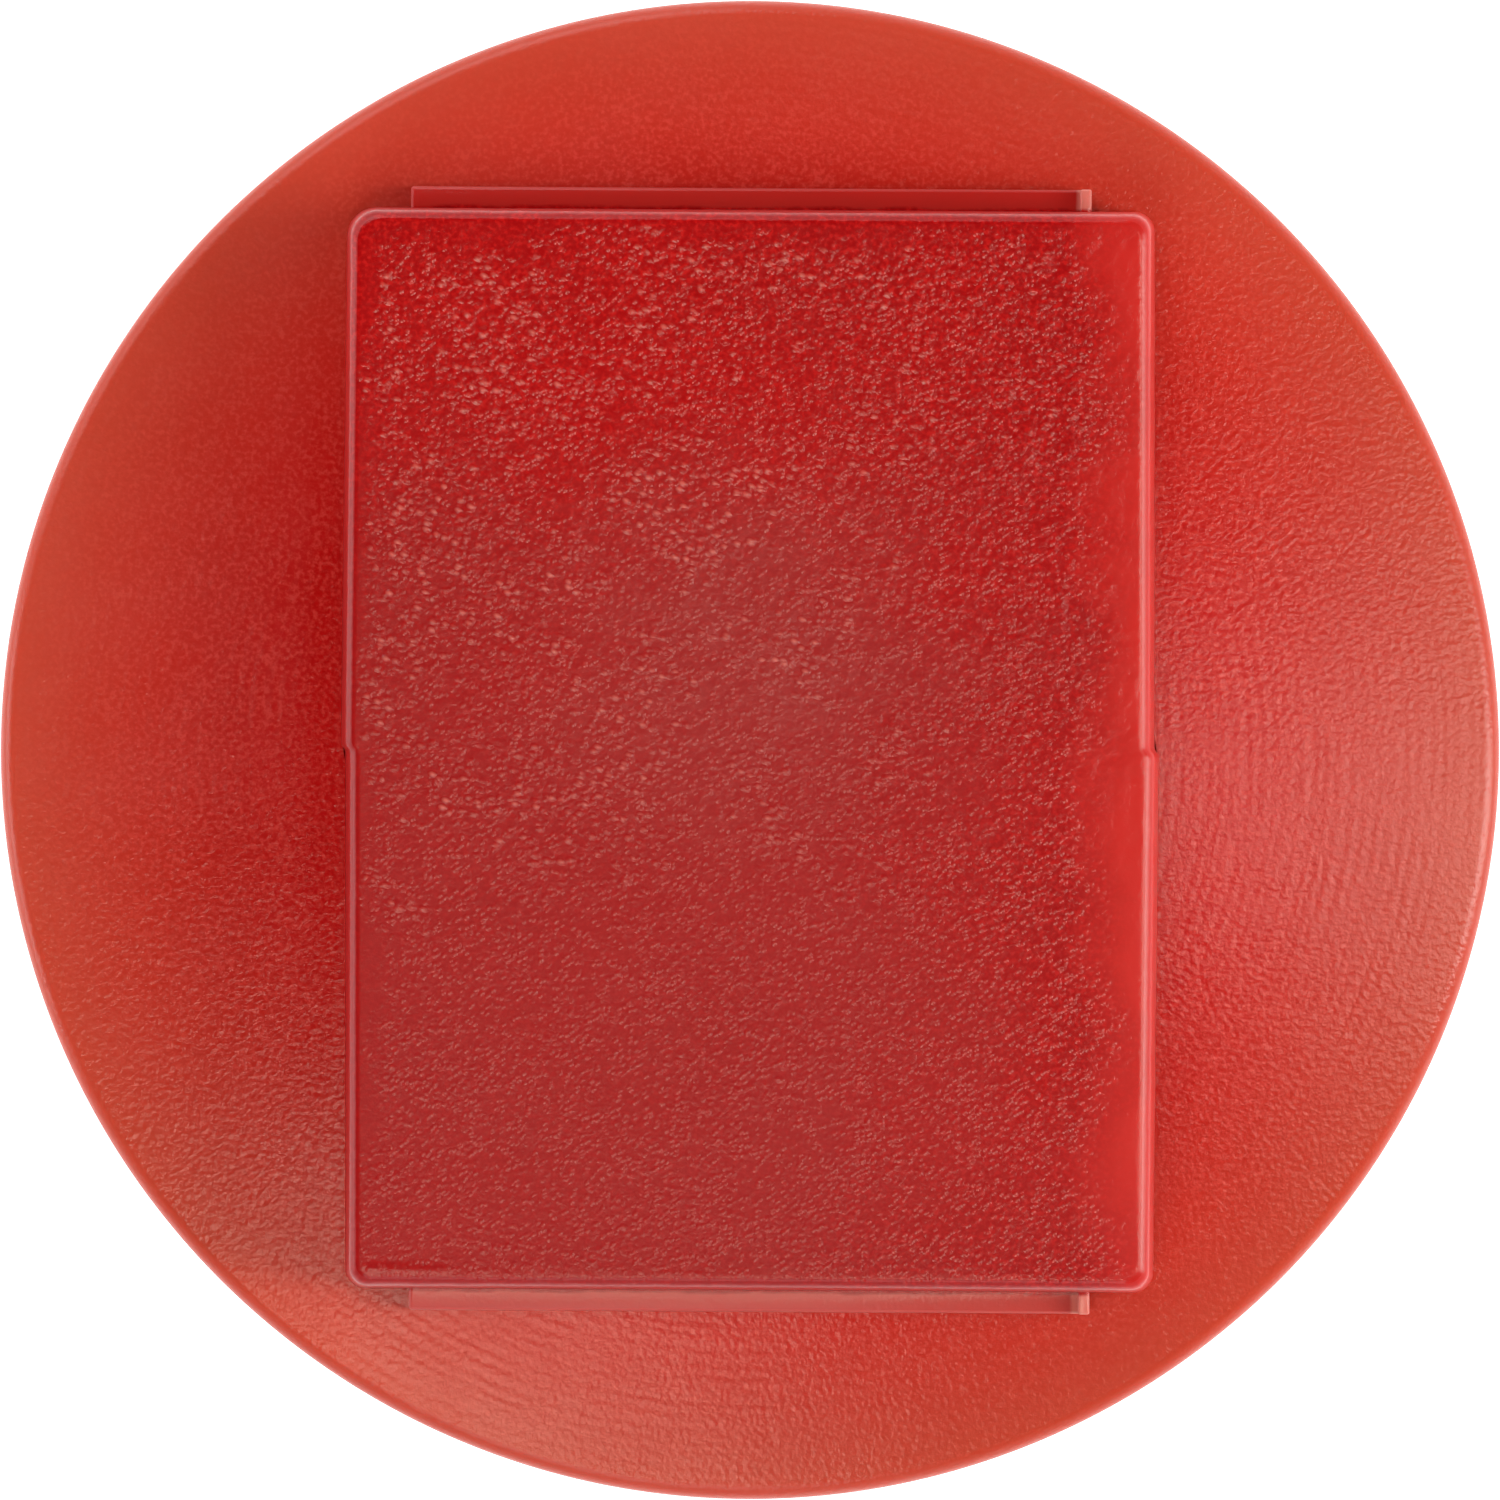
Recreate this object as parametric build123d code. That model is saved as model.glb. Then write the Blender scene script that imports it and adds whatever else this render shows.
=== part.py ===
"""Panel emergency stop button: mushroom head, twist release, latch, panel housing and two contact modules.

Millimetres. The origin is on the axis at the panel's front face, +Z points out of the panel towards the
operator, +Y is up when the head is seen from the front. Everything is modelled at rest, head out.
"""
from build123d import *
import math
import os

# ---------------------------------------------------------------- clearances
turn_fit = 0.05         # radial, shaft in bore
slide_fit = 0.05        # per side, piece that slides in a guide
seat_gap = 0.03         # between a piece and the face that it rests on
loose_gap = 0.15        # per side, piece dropped in a pocket
pass_gap = 0.40         # pieces that move past each other
end_gap = 0.60          # left between parts at the end of the travel
panel_hole_gap = 0.15   # panel's hole round the neck
past = 1.0              # how far a cut runs past the face that it opens

# ---------------------------------------------------------------- motion
travel = 5.0            # push of the head
twist_angle = 35.0      # turn of the head that lets the latch go
latch_slope = 0.20      # how far a dog moves in for each mm of push
lobe_margin = 9.0       # degrees left between a dog and a release lobe at the end of the turn
bayonet_turn = 60.0     # turn that brings the carrier from its way in to its lock

# ---------------------------------------------------------------- panel and housing
panel_thickness = 3.0
gasket_thickness = 1.5
gasket_inset = 0.35     # gasket's edge inside the flange's
flange_r = 14.75
flange_thickness = 3.0
bezel_wall = 1.72
bezel_thickness = 1.0
bezel_edge = 0.6
bezel_lift = 0.3        # bezel's lower edge off the panel
collar_r = 12.0
neck_r = 11.0
thread_depth = 0.62
thread_pitch = 1.5
thread_crest_flat = 0.16    # flats of a thread ring, in pitches
thread_root_flat = 0.16
tail_wall = 1.38
bore_step = 0.5         # barrel's upper bore inside the cage's
seal_step = 1.0         # seal's seat inside its cover's
nib_width = 3.0
nib_height = 1.0
keyway_width = 3.2
keyway_depth = 1.0
bayonet_lug_width = 5.0
bayonet_lug_height = 0.9
bayonet_lug_length = 2.0
web_thickness = 2.5
seal_height = 1.7
seal_wall = 0.7
seal_cover_thickness = 0.75

# ---------------------------------------------------------------- head
head_r = 20.0
head_taper = 1.3        # rim's lower edge inside the deck's edge
head_wall = 1.8
head_depth = 6.4        # rim's lower edge below the deck's underside
deck_thickness = 2.4
dome_drop = 0.8
rim_radius = 0.7
rim_band = 2.6
hub_r = 8.0
hub_height = 4.2
skirt_wall = 1.2
skirt_overlap = 2.0     # skirt over the collar, head out
head_rib_count = 8
head_rib_thickness = 1.0
head_rib_height = 4.0
key_width = 3.0
key_height = 2.2

# ---------------------------------------------------------------- grip cap
cap_length = 28.8
cap_mid_width = 21.68
cap_end_width = 21.52
cap_height = 6.3
cap_recess = 0.8
cap_draft = 2.0
cap_wall = 1.45
cap_roof = 1.6
cap_corner_r = 0.55
cap_first_corner_r = 0.80
cap_edge_r = 0.38
parting_shift = 0.14
end_rib_length = 18.1
end_rib_proud = 0.55
end_rib_height = 1.0
end_peg_width = 0.30
end_peg_height = 0.45
hook_x = 3.5
hook_y = 10.4
hook_width = 3.0
hook_thickness = 1.2
hook_catch = 0.5
hook_catch_height = 1.2

# ---------------------------------------------------------------- spindle, rotor and latch
spindle_r = 3.0
spindle_flat = 2.4
head_screw_r = 2.0
head_screw_head_r = 3.8
head_screw_head = 2.2
head_screw_edge_r = 0.7
head_screw_length = 12.0
recess_length = 1.24    # a screw's cross slot, in radii of its head
recess_width = 0.32
recess_depth = 0.5      # and in heights of its head
head_washer_r = 4.5
head_washer_thickness = 0.9
rotor_r = 5.5
rotor_cavity_r = 4.6
rotor_cavity_depth = 10.6
rotor_flange = 1.6
rotor_flange_drop = 0.8
rotor_land = 1.5
clip_r = 4.6
clip_thickness = 0.7
clip_groove_depth = 0.6
clip_opening = 3.6
twist_wire_r = 0.3
twist_coil_r = 3.85
twist_coil_height = 7.5
twist_turns = 7.25
twist_foot_r = 1.5      # end of the spring's foot, from the axis
slip_washer_thickness = 0.7
slip_washer_lip = 0.2   # washer inside the coil
return_wire_r = 0.45
return_spring_gap = 0.7 # radial, round the coil
return_solid = 4.8
return_turns = 4.5
dog_width = 3.0
dog_height = 2.8
dog_ring_room = 1.0     # radial, behind a dog
dog_ring_wire = 0.7
dog_ring_opening = 4.0
cage_cover_thickness = 2.0
cage_web = 1.6
cage_ring_thickness = 1.0
cage_ring_width = 1.6
cage_ring_bite = 0.53   # part of the ring in the barrel's groove
cage_ring_opening = 4.7
pusher_hub_r = 5.0
pusher_thickness = 2.0
pusher_edge_r = 0.3
pusher_screw_r = 1.5
pusher_screw_head_r = 2.7
pusher_screw_head = 1.5
pusher_screw_length = 7.0

# ---------------------------------------------------------------- nut and washer
nut_wall = 3.0
nut_height = 5.0
nut_edge_cut = 0.5
nut_notch_count = 12
nut_notch_r = 1.4
nut_notch_depth = 0.7
tab_washer_thickness = 0.8
washer_notch_count = 12
washer_notch_width = 1.2
washer_notch_depth = 0.8

# ---------------------------------------------------------------- contact carrier
carrier_width = 28.0
carrier_corner_r = 2.0
carrier_edge_cut = 0.5
carrier_grip = 5.0      # carrier over the barrel's tail
lever_thickness = 2.2
lever_width = 1.8
lever_reach = 21.0
lever_eye_r = 1.8
lever_pin_r = 0.9
lever_pin_inset = 2.1   # pin from the carrier's two faces
lever_pin_length = 7.0
lever_pin_head_r = 1.35
lever_pin_head = 0.45
lever_grip = 1.2
lever_grip_length = 5.4

# ---------------------------------------------------------------- contact modules
module_gap = 0.4
module_height = 24.0
module_wall = 1.2
module_cover = 1.0
rod_r = 1.2
slider_width = 4.6
slider_depth = 4.4
slider_height = 8.0
window_width = 3.0
window_height = 4.6
stub_r = 1.0
stub_length = 5.4
plunger_wire_r = 0.2
plunger_coil_r = 1.55
plunger_turns = 8.5
bridge_width = 2.6
bridge_half_length = 7.2
bridge_thickness = 0.8
contact_y = 6.0
contact_r = 1.0
contact_height = 0.6
bridge_wire_r = 0.15
bridge_coil_r = 0.9
bridge_turns = 4.5
terminal_width = 5.0
terminal_thickness = 0.8
terminal_reach = 3.6    # tongue from its riser
riser_y = 7.4
shelf_drop = 15.6       # terminal shelf below the module's ceiling
shelf_thickness = 1.0
shelf_wall = 0.6
terminal_screw_y = 10.4
terminal_screw_r = 1.5
terminal_screw_head_r = 2.1
terminal_screw_head = 2.1
terminal_screw_length = 4.6
clamp_size = 4.5
clamp_thickness = 0.8
wire_hole_r = 1.5
driver_hole_r = 1.9
snap_width = 6.0
snap_thickness = 1.2
snap_height = 4.3
snap_nose = 0.5
module_edge_r = 0.6
module_corner_cut = 1.5
grip_groove_count = 5
grip_groove_width = 0.8
grip_groove_depth = 0.35

# ---------------------------------------------------------------- levels, from the panel outwards
z_flange_low = gasket_thickness
z_flange_top = z_flange_low + flange_thickness
z_bezel_top = z_flange_top + seat_gap + bezel_thickness
z_skirt_low = z_bezel_top + travel + end_gap
z_collar_top = z_skirt_low + skirt_overlap
z_hub_low = z_collar_top + travel + end_gap
z_pocket_top = z_hub_low + key_height
z_deck_low = z_hub_low + hub_height
z_deck = z_deck_low + deck_thickness
z_rim_low = z_deck_low - head_depth
z_cap_seat = z_deck - cap_recess
z_cap_top = z_cap_seat + cap_height
z_spindle_top = z_cap_seat - head_washer_thickness
z_washer_seat = z_spindle_top - seat_gap
z_rotor_cavity = z_pocket_top - rotor_cavity_depth
z_twist_foot = z_rotor_cavity + seat_gap + 1.5 * twist_wire_r

# ---------------------------------------------------------------- levels, from the collar down
z_seal_top = z_collar_top - seal_cover_thickness
z_seal_low = z_seal_top - seal_height
z_web_low = z_seal_low - web_thickness
z_rotor_flange_top = z_web_low - rotor_flange_drop
z_rotor_flange_low = z_rotor_flange_top - rotor_flange
z_slip_top = z_rotor_flange_low - seat_gap
z_slip_low = z_slip_top - slip_washer_thickness
z_spring_top = z_slip_low - seat_gap
z_spring_low = z_spring_top - travel - return_solid
z_cage_top = z_spring_low - seat_gap
z_cage_split = z_cage_top - cage_cover_thickness
z_dog_top = z_cage_split - slide_fit
z_dog_low = z_dog_top - dog_height
z_rotor_low = z_dog_low - rotor_land
z_clip_top = z_rotor_low - seat_gap
z_clip_low = z_clip_top - clip_thickness
z_cage_web_top = z_clip_low - travel - end_gap / 2
z_cage_low = z_cage_web_top - cage_web
z_pusher_hub = z_cage_low - seat_gap
z_cage_ring_low = z_cage_low - seat_gap - cage_ring_thickness
z_pusher_top = z_cage_ring_low - loose_gap
z_pusher_low = z_pusher_top - pusher_thickness
z_tail_low = z_pusher_low - end_gap
z_carrier_top = z_tail_low + carrier_grip
z_thread_low = z_carrier_top + end_gap
z_module_top = z_pusher_low - travel - end_gap
z_module_low = z_module_top - module_height
z_nut_top = -panel_thickness - tab_washer_thickness - seat_gap
z_module_ceiling = z_module_top - module_wall
z_module_floor = z_module_low + module_wall
z_shelf = z_module_ceiling - shelf_drop
z_slider_top = z_module_ceiling - 2 * seat_gap
z_slider_low = z_slider_top - slider_height

# ---------------------------------------------------------------- radii that follow
skirt_in_r = collar_r + end_gap
skirt_out_r = skirt_in_r + skirt_wall
bezel_r = flange_r + seat_gap + bezel_wall
gasket_r = flange_r - gasket_inset
panel_hole_r = neck_r + panel_hole_gap
thread_root_r = neck_r - thread_depth
tail_r = thread_root_r
keyway_r = neck_r - keyway_depth
cage_bore_r = tail_r - tail_wall
upper_bore_r = cage_bore_r - bore_step
seal_r = cage_bore_r - seal_step
rotor_flange_r = upper_bore_r - end_gap
return_coil_r = upper_bore_r - return_spring_gap - return_wire_r
dog_back_r = cage_bore_r - dog_ring_room
pusher_r = cage_bore_r - 2 * loose_gap
nut_r = neck_r + nut_wall
head_low_r = head_r - head_taper
groove_length = dog_height + travel + pass_gap
cap_inset = cap_height * math.tan(math.radians(cap_draft))
dog_half_angle = math.degrees(math.asin(dog_width / 2 / rotor_r))
lobe_angle = 180 - 2 * (twist_angle + dog_half_angle + lobe_margin)
carrier_half = carrier_width / 2
pin_at = carrier_half - lever_pin_inset
hook_in = carrier_half - snap_thickness
module_in = module_gap / 2
module_out = carrier_half
module_split = module_out - module_cover
module_middle = (module_in + module_out) / 2
plunger_x = pusher_r - pass_gap - rod_r


# ---------------------------------------------------------------- shapes used by many pieces
def block(x_span, y_span, z_span):
    """Box between two values on each axis."""
    size = [span[1] - span[0] for span in (x_span, y_span, z_span)]
    centre = [(span[1] + span[0]) / 2 for span in (x_span, y_span, z_span)]
    return Pos(*centre) * Box(*size)


def rod(radius, z_low, z_high, x=0.0, y=0.0):
    """Cylinder along Z."""
    return Pos(x, y, (z_low + z_high) / 2) * Cylinder(radius, z_high - z_low)


def cross_rod(radius, x_span, z):
    """Cylinder along X through the axis."""
    return Pos((x_span[0] + x_span[1]) / 2, 0, z) * Rot(0, 90, 0) * Cylinder(radius, x_span[1] - x_span[0])


def ring(inner_r, outer_r, z_low, z_high):
    """Flat ring round the axis."""
    return rod(outer_r, z_low, z_high) - rod(inner_r, z_low - past, z_high + past)


def turned(points):
    """Solid of revolution from an outline of (radius, z) points."""
    return revolve(Plane.XZ * Polygon(*points, align=None), Axis.Z)


def both(piece):
    """The piece and its copy turned half round the axis."""
    return [piece, Rot(0, 0, 180) * piece]


def coil(coil_r, wire_r, z_low, z_high, turns):
    """Compression or torsion coil with ground ends."""
    height = z_high - z_low
    path = Pos(0, 0, z_low) * Helix(pitch=height / turns, height=height, radius=coil_r)
    section = Plane(origin=path @ 0, z_dir=path % 0) * Circle(wire_r)
    wire = sweep(section, path=path)
    reach = coil_r + 2 * wire_r
    return wire & block((-reach, reach), (-reach, reach), (z_low, z_high))


def double_d(radius, flat, z_low, z_high):
    """Round bar with two flats facing +X and -X."""
    return rod(radius, z_low, z_high) & block((-flat, flat), (-radius, radius), (z_low, z_high))


def open_ring(inner_r, outer_r, z_low, z_high, opening):
    """Ring with an opening towards +X."""
    slot = block((0, outer_r + past), (-opening / 2, opening / 2), (z_low - past, z_high + past))
    return ring(inner_r, outer_r, z_low, z_high) - slot


def round_edges(piece, radius):
    """Level circular edges of one radius, lowest first."""
    circles = piece.edges().filter_by(GeomType.CIRCLE)
    level = circles.filter_by(lambda edge: edge.bounding_box().size.Z < 0.01)
    return level.filter_by(lambda edge: abs(edge.radius - radius) < 0.001).sort_by(Axis.Z)


def cross_recess(radius, height, z_face, up, x=0.0, y=0.0):
    """Cross slot for a screw head of one radius and height; up is +1 for a head that faces up, else -1."""
    long_half = radius * recess_length / 2
    short_half = radius * recess_width / 2
    z_span = sorted((z_face + up * past, z_face - up * recess_depth * height))
    along_x = block((x - long_half, x + long_half), (y - short_half, y + short_half), z_span)
    along_y = block((x - short_half, x + short_half), (y - long_half, y + long_half), z_span)
    return along_x + along_y


# ---------------------------------------------------------------- mushroom head and grip cap
def cap_outline(side, grow, z):
    """Four-cornered outline of one half of the cap, side +1 for the upper half."""
    middle = cap_mid_width / 2 + grow
    end = cap_end_width / 2 + grow
    tip = side * (cap_length / 2 + grow)
    points = [(-middle, 0), (middle, 0), (end, tip), (-end, tip)]
    shift = -side * parting_shift / 2
    return Pos(shift, 0, z) * make_face(Polyline(*points, close=True))


def end_rib(side, grow, z_high):
    """Low rib that stands proud at one end of the cap."""
    shift = -side * parting_shift / 2
    x_span = (shift - end_rib_length / 2 - grow, shift + end_rib_length / 2 + grow)
    y_span = sorted((side * (cap_length / 2 - cap_wall), side * (cap_length / 2 + end_rib_proud + grow)))
    return block(x_span, y_span, (z_cap_seat, z_high))


def cap_half(side):
    """Solid half of the cap, side +1 for the upper one, drafted and rounded."""
    base = cap_outline(side, 0, z_cap_seat).face()
    top = cap_outline(side, -cap_inset, z_cap_top).face()
    half = loft([base, top], ruled=True)
    corners = half.edges().filter_by(lambda edge: side * edge.center().Y > cap_length / 4)
    left, right = corners.filter_by(lambda edge: edge.bounding_box().size.Z > cap_height / 2).sort_by(Axis.X)
    half = fillet(left, cap_first_corner_r if side > 0 else cap_corner_r)
    right = half.edges().filter_by(lambda edge: (edge.center() - right.center()).length < cap_corner_r)
    half = fillet(right, cap_corner_r)
    crown = half.edges().filter_by(lambda edge: edge.center().Z > z_cap_top - 0.001)
    return fillet(crown.filter_by(lambda edge: side * edge.center().Y > 0.001), cap_edge_r)


def grip_cap():
    """Hollow drafted block with a mould step across it, end ribs, pegs and four snap hooks."""
    shell = cap_half(1) + cap_half(-1)
    inner_x = cap_end_width / 2 - cap_inset - cap_wall
    inner_y = cap_length / 2 - cap_inset - cap_wall
    roof = z_cap_top - cap_roof
    shell -= block((-inner_x, inner_x), (-inner_y, inner_y), (z_cap_seat - past, roof))
    for side in (1, -1):
        shell += end_rib(side, 0, z_deck + end_rib_height)
        peg_x = end_rib_length / 2 - side * parting_shift / 2
        peg_y = sorted((side * (cap_length / 2 - cap_wall), side * (cap_length / 2 + end_rib_proud)))
        shell += block(
            (peg_x - end_peg_width, peg_x), peg_y, (z_cap_seat, z_deck + end_rib_height + end_peg_height)
        )
    for x in (-hook_x, hook_x):
        for side in (1, -1):
            shell += hook(x, side, roof)
    return shell


def hook(x, side, roof):
    """Snap hook from the cap's roof down through the deck; its catch points outwards."""
    x_span = (x - hook_width / 2, x + hook_width / 2)
    shank_y = sorted((side * (hook_y - hook_thickness), side * hook_y))
    shank = block(x_span, shank_y, (z_deck_low - hook_catch_height, roof))
    catch_y = sorted((side * (hook_y - hook_thickness), side * (hook_y + hook_catch)))
    catch = block(x_span, catch_y, (z_deck_low - hook_catch_height, z_deck_low - seat_gap))
    return shank + catch


def mushroom_head():
    """Round head: gently domed deck, rounded rim, hub keyed to the rotor, splash skirt and ribs."""
    dome = ThreePointArc(
        (0, z_deck), (head_r / 2, z_deck - dome_drop / 4), (head_r, z_deck - dome_drop)
    )
    rim_top = (head_r, z_deck - dome_drop)
    band_low = (head_r, z_deck - dome_drop - rim_band)
    rest = Polyline(rim_top, band_low, (head_low_r, z_rim_low), (0, z_rim_low), (0, z_deck))
    head = revolve(Plane.XZ * make_face([dome, rest]), Axis.Z)
    head = fillet(round_edges(head, head_r)[-1], rim_radius)
    hollow = turned(
        [
            (0, z_rim_low - past),
            (head_low_r - head_wall, z_rim_low - past),
            (head_low_r - head_wall, z_rim_low),
            (head_r - head_wall, z_deck_low - rim_band / 2),
            (head_r - head_wall - rim_radius, z_deck_low),
            (0, z_deck_low),
        ]
    )
    hollow -= rod(hub_r, z_hub_low, z_deck)
    rib = block(
        (skirt_out_r - skirt_wall / 2, head_r),
        (-head_rib_thickness / 2, head_rib_thickness / 2),
        (z_deck_low - head_rib_height, z_deck),
    )
    for number in range(head_rib_count):
        hollow -= Rot(0, 0, 360 / head_rib_count * (number + 0.5)) * rib
    head -= hollow
    head += ring(skirt_in_r, skirt_out_r, z_skirt_low, z_deck_low)
    head -= rod(rotor_r + seat_gap, z_hub_low - past, z_pocket_top)
    tongue = block(
        (rotor_cavity_r + seat_gap, rotor_r + 2 * seat_gap),
        (-key_width / 2 + slide_fit, key_width / 2 - slide_fit),
        (z_hub_low, z_pocket_top),
    )
    for piece in both(tongue):
        head += piece
    head -= rod(spindle_r + turn_fit, z_pocket_top - past, z_deck + past)
    head -= rod(head_washer_r + pass_gap, z_washer_seat, z_deck + past)
    for side in (1, -1):
        pocket = cap_outline(side, seat_gap, z_cap_seat).face()
        head -= extrude(pocket, amount=cap_recess + past)
        head -= end_rib(side, seat_gap, z_deck + past)
        for x in (-hook_x, hook_x):
            slot_y = sorted((side * (hook_y - hook_thickness - loose_gap), side * (hook_y + seat_gap)))
            x_span = (x - hook_width / 2 - loose_gap, x + hook_width / 2 + loose_gap)
            head -= block(x_span, slot_y, (z_deck_low - past, z_deck + past))
    return head


def head_screw():
    """Pan head machine screw down into the spindle's top."""
    face = z_cap_seat + head_screw_head
    screw = rod(head_screw_head_r, z_cap_seat, face)
    screw = fillet(screw.edges().sort_by(Axis.Z)[-1], head_screw_edge_r)
    screw += rod(head_screw_r - seat_gap, z_cap_seat - head_screw_length, z_cap_seat)
    return screw - cross_recess(head_screw_head_r, head_screw_head, face, 1)


def head_washer():
    """Flat washer on the spindle's end; the head turns under it."""
    return ring(head_screw_r + loose_gap, head_washer_r, z_spindle_top, z_cap_seat)


# ---------------------------------------------------------------- rotor and spindle
def rotor():
    """Sleeve that turns with the head: flange for the spring, tapered latch groove, two release lobes."""
    body = rod(rotor_r, z_rotor_low, z_pocket_top - seat_gap)
    body += rod(rotor_flange_r, z_rotor_flange_low, z_rotor_flange_top)
    groove_top = z_dog_low + groove_length
    groove_r = rotor_r - latch_slope * groove_length
    groove = revolve(
        Plane.XZ
        * Polygon(
            (rotor_r, z_dog_low),
            (rotor_r + past, z_dog_low),
            (rotor_r + past, groove_top + rotor_r - groove_r),
            (rotor_r, groove_top + rotor_r - groove_r),
            (groove_r, groove_top),
            align=None,
        ),
        Axis.Z,
        revolution_arc=180 - lobe_angle,
    )
    for piece in both(Rot(0, 0, lobe_angle / 2) * groove):
        body -= piece
    body -= rod(spindle_r + turn_fit, z_rotor_low - past, z_pocket_top + past)
    body -= rod(rotor_cavity_r, z_rotor_cavity, z_pocket_top + past)
    slot = block(
        (0, rotor_r + past), (-key_width / 2, key_width / 2), (z_hub_low - seat_gap, z_pocket_top + past)
    )
    for piece in both(slot):
        body -= piece
    return body


def twist_spring():
    """Torsion coil round the spindle inside the rotor; its foot stands in the spindle."""
    low = z_rotor_cavity + seat_gap
    wire = coil(twist_coil_r, twist_wire_r, low, low + twist_coil_height, twist_turns)
    return wire + cross_rod(twist_wire_r, (twist_foot_r, twist_coil_r), z_twist_foot)


def spindle():
    """Central shaft: round in the rotor, two flats in the cage's web, threaded holes at both ends."""
    low = z_pusher_low + pusher_screw_head
    flats_top = z_clip_low - seat_gap
    shaft = rod(spindle_r, flats_top, z_spindle_top)
    shaft += double_d(spindle_r, spindle_flat, low, flats_top)
    shaft -= rod(head_screw_r, z_spindle_top - head_screw_length, z_spindle_top + past)
    shaft -= rod(pusher_screw_r, low - past, z_pusher_low + pusher_screw_length + pass_gap)
    shaft -= ring(
        spindle_r - clip_groove_depth, spindle_r + past, z_clip_low - seat_gap, z_clip_top + seat_gap
    )
    foot_hole_x = (twist_foot_r - pass_gap, spindle_r + past)
    return shaft - cross_rod(twist_wire_r + seat_gap, foot_hole_x, z_twist_foot)


def rotor_clip():
    """Snap clip in the spindle's groove, under the rotor."""
    inner = spindle_r - clip_groove_depth + seat_gap
    return open_ring(inner, clip_r, z_clip_low, z_clip_top, clip_opening)


def slip_washer():
    """Washer between the turning rotor and the return spring."""
    inner = return_coil_r - return_wire_r - slip_washer_lip
    return ring(inner, upper_bore_r - 2 * loose_gap, z_slip_low, z_slip_top)


def pusher_plate():
    """Disc that presses the contact rods, seated on the spindle's two flats."""
    plate = rod(pusher_r, z_pusher_low, z_pusher_top) + rod(pusher_hub_r, z_pusher_low, z_pusher_hub)
    plate = fillet(plate.edges().sort_by(Axis.Z)[0], pusher_edge_r)
    seat = z_pusher_low + pusher_screw_head
    plate -= double_d(spindle_r + seat_gap, spindle_flat + seat_gap, seat, z_pusher_hub + past)
    plate -= rod(pusher_screw_head_r + seat_gap, z_pusher_low - past, seat)
    return plate


def pusher_screw():
    """Flat screw up into the spindle's lower end, head sunk in the pusher plate."""
    seat = z_pusher_low + pusher_screw_head
    screw = rod(pusher_screw_head_r, z_pusher_low, seat)
    screw += rod(pusher_screw_r - seat_gap, seat, z_pusher_low + pusher_screw_length)
    return screw - cross_recess(pusher_screw_head_r, pusher_screw_head, z_pusher_low, -1)


# ---------------------------------------------------------------- housing and what it holds
def thread_teeth(root_r, crest_r, z_low, z_high):
    """Outline points of stacked rings that stand for a thread between two levels."""
    count = int((z_high - z_low) / thread_pitch)
    step = (z_high - z_low) / count
    half_root = (1 - thread_root_flat) / 2
    half_crest = thread_crest_flat / 2
    corners = [(root_r, -half_root), (crest_r, -half_crest), (crest_r, half_crest), (root_r, half_root)]
    return [(r, z_low + step * (number + 0.5 + place)) for number in range(count) for r, place in corners]


def housing():
    """Flange, collar, panel neck, threaded barrel and bayonet tail in one moulding, stepped bore."""
    outline = [(0, z_tail_low), (tail_r, z_tail_low), (tail_r, z_thread_low)]
    outline += thread_teeth(thread_root_r, neck_r, z_thread_low, -panel_thickness)
    outline += [(neck_r, -panel_thickness), (neck_r, z_flange_low), (flange_r, z_flange_low)]
    outline += [(flange_r, z_flange_top), (collar_r, z_flange_top)]
    outline += [(collar_r, z_collar_top), (0, z_collar_top)]
    body = turned(outline)
    nib_top = z_flange_low + flange_thickness / 2
    body += block((-nib_width / 2, nib_width / 2), (0, neck_r + nib_height), (-panel_thickness, nib_top))
    lug = block(
        (0, tail_r + bayonet_lug_height),
        (-bayonet_lug_width / 2, bayonet_lug_width / 2),
        (z_tail_low + pass_gap, z_tail_low + pass_gap + bayonet_lug_length),
    )
    lug &= rod(tail_r + bayonet_lug_height, z_tail_low, z_thread_low)
    for piece in both(lug):
        body += piece
    body -= rod(rotor_r + turn_fit, z_web_low - past, z_collar_top + past)
    body -= rod(seal_r, z_seal_low, z_collar_top + past)
    body -= rod(cage_bore_r, z_seal_top, z_collar_top + past)
    body -= rod(upper_bore_r, z_cage_top - past, z_web_low)
    body -= rod(cage_bore_r, z_tail_low - past, z_cage_top)
    body -= rod(cage_bore_r + cage_ring_bite + seat_gap, z_cage_ring_low - seat_gap, z_cage_low)
    body -= block(
        (-keyway_width / 2, keyway_width / 2), (keyway_r, neck_r + past), (z_thread_low, -panel_thickness)
    )
    return body


def bezel_ring():
    """Yellow ring snapped over the flange."""
    bezel = ring(collar_r + seat_gap, bezel_r, z_flange_top + seat_gap, z_bezel_top)
    bezel += ring(flange_r + seat_gap, bezel_r, bezel_lift, z_bezel_top)
    return chamfer(round_edges(bezel, bezel_r)[-1], bezel_edge)


def panel_gasket():
    """Rubber ring between flange and panel, notched for the housing's nib."""
    half = nib_width / 2 + loose_gap
    notch = block((-half, half), (0, neck_r + nib_height + loose_gap), (-past, z_flange_low + past))
    return ring(panel_hole_r, gasket_r, 0, z_flange_low) - notch


def stem_seal():
    """Rubber lip ring round the rotor."""
    inner = rotor_r + 2 * turn_fit
    outer = seal_r - seat_gap
    top = z_seal_top - seat_gap
    low = z_seal_low + seat_gap
    return turned(
        [
            (inner, low),
            (outer, low),
            (outer, top),
            (outer - seal_wall, top),
            (outer - seal_wall, low + seal_wall),
            (inner + seal_wall, low + seal_wall),
            (inner + seal_wall, top),
            (inner, top),
        ]
    )


def seal_cover():
    """Plain ring pressed into the collar's mouth over the seal."""
    return ring(rotor_r + pass_gap, cage_bore_r - seat_gap, z_seal_top, z_collar_top)


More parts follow.
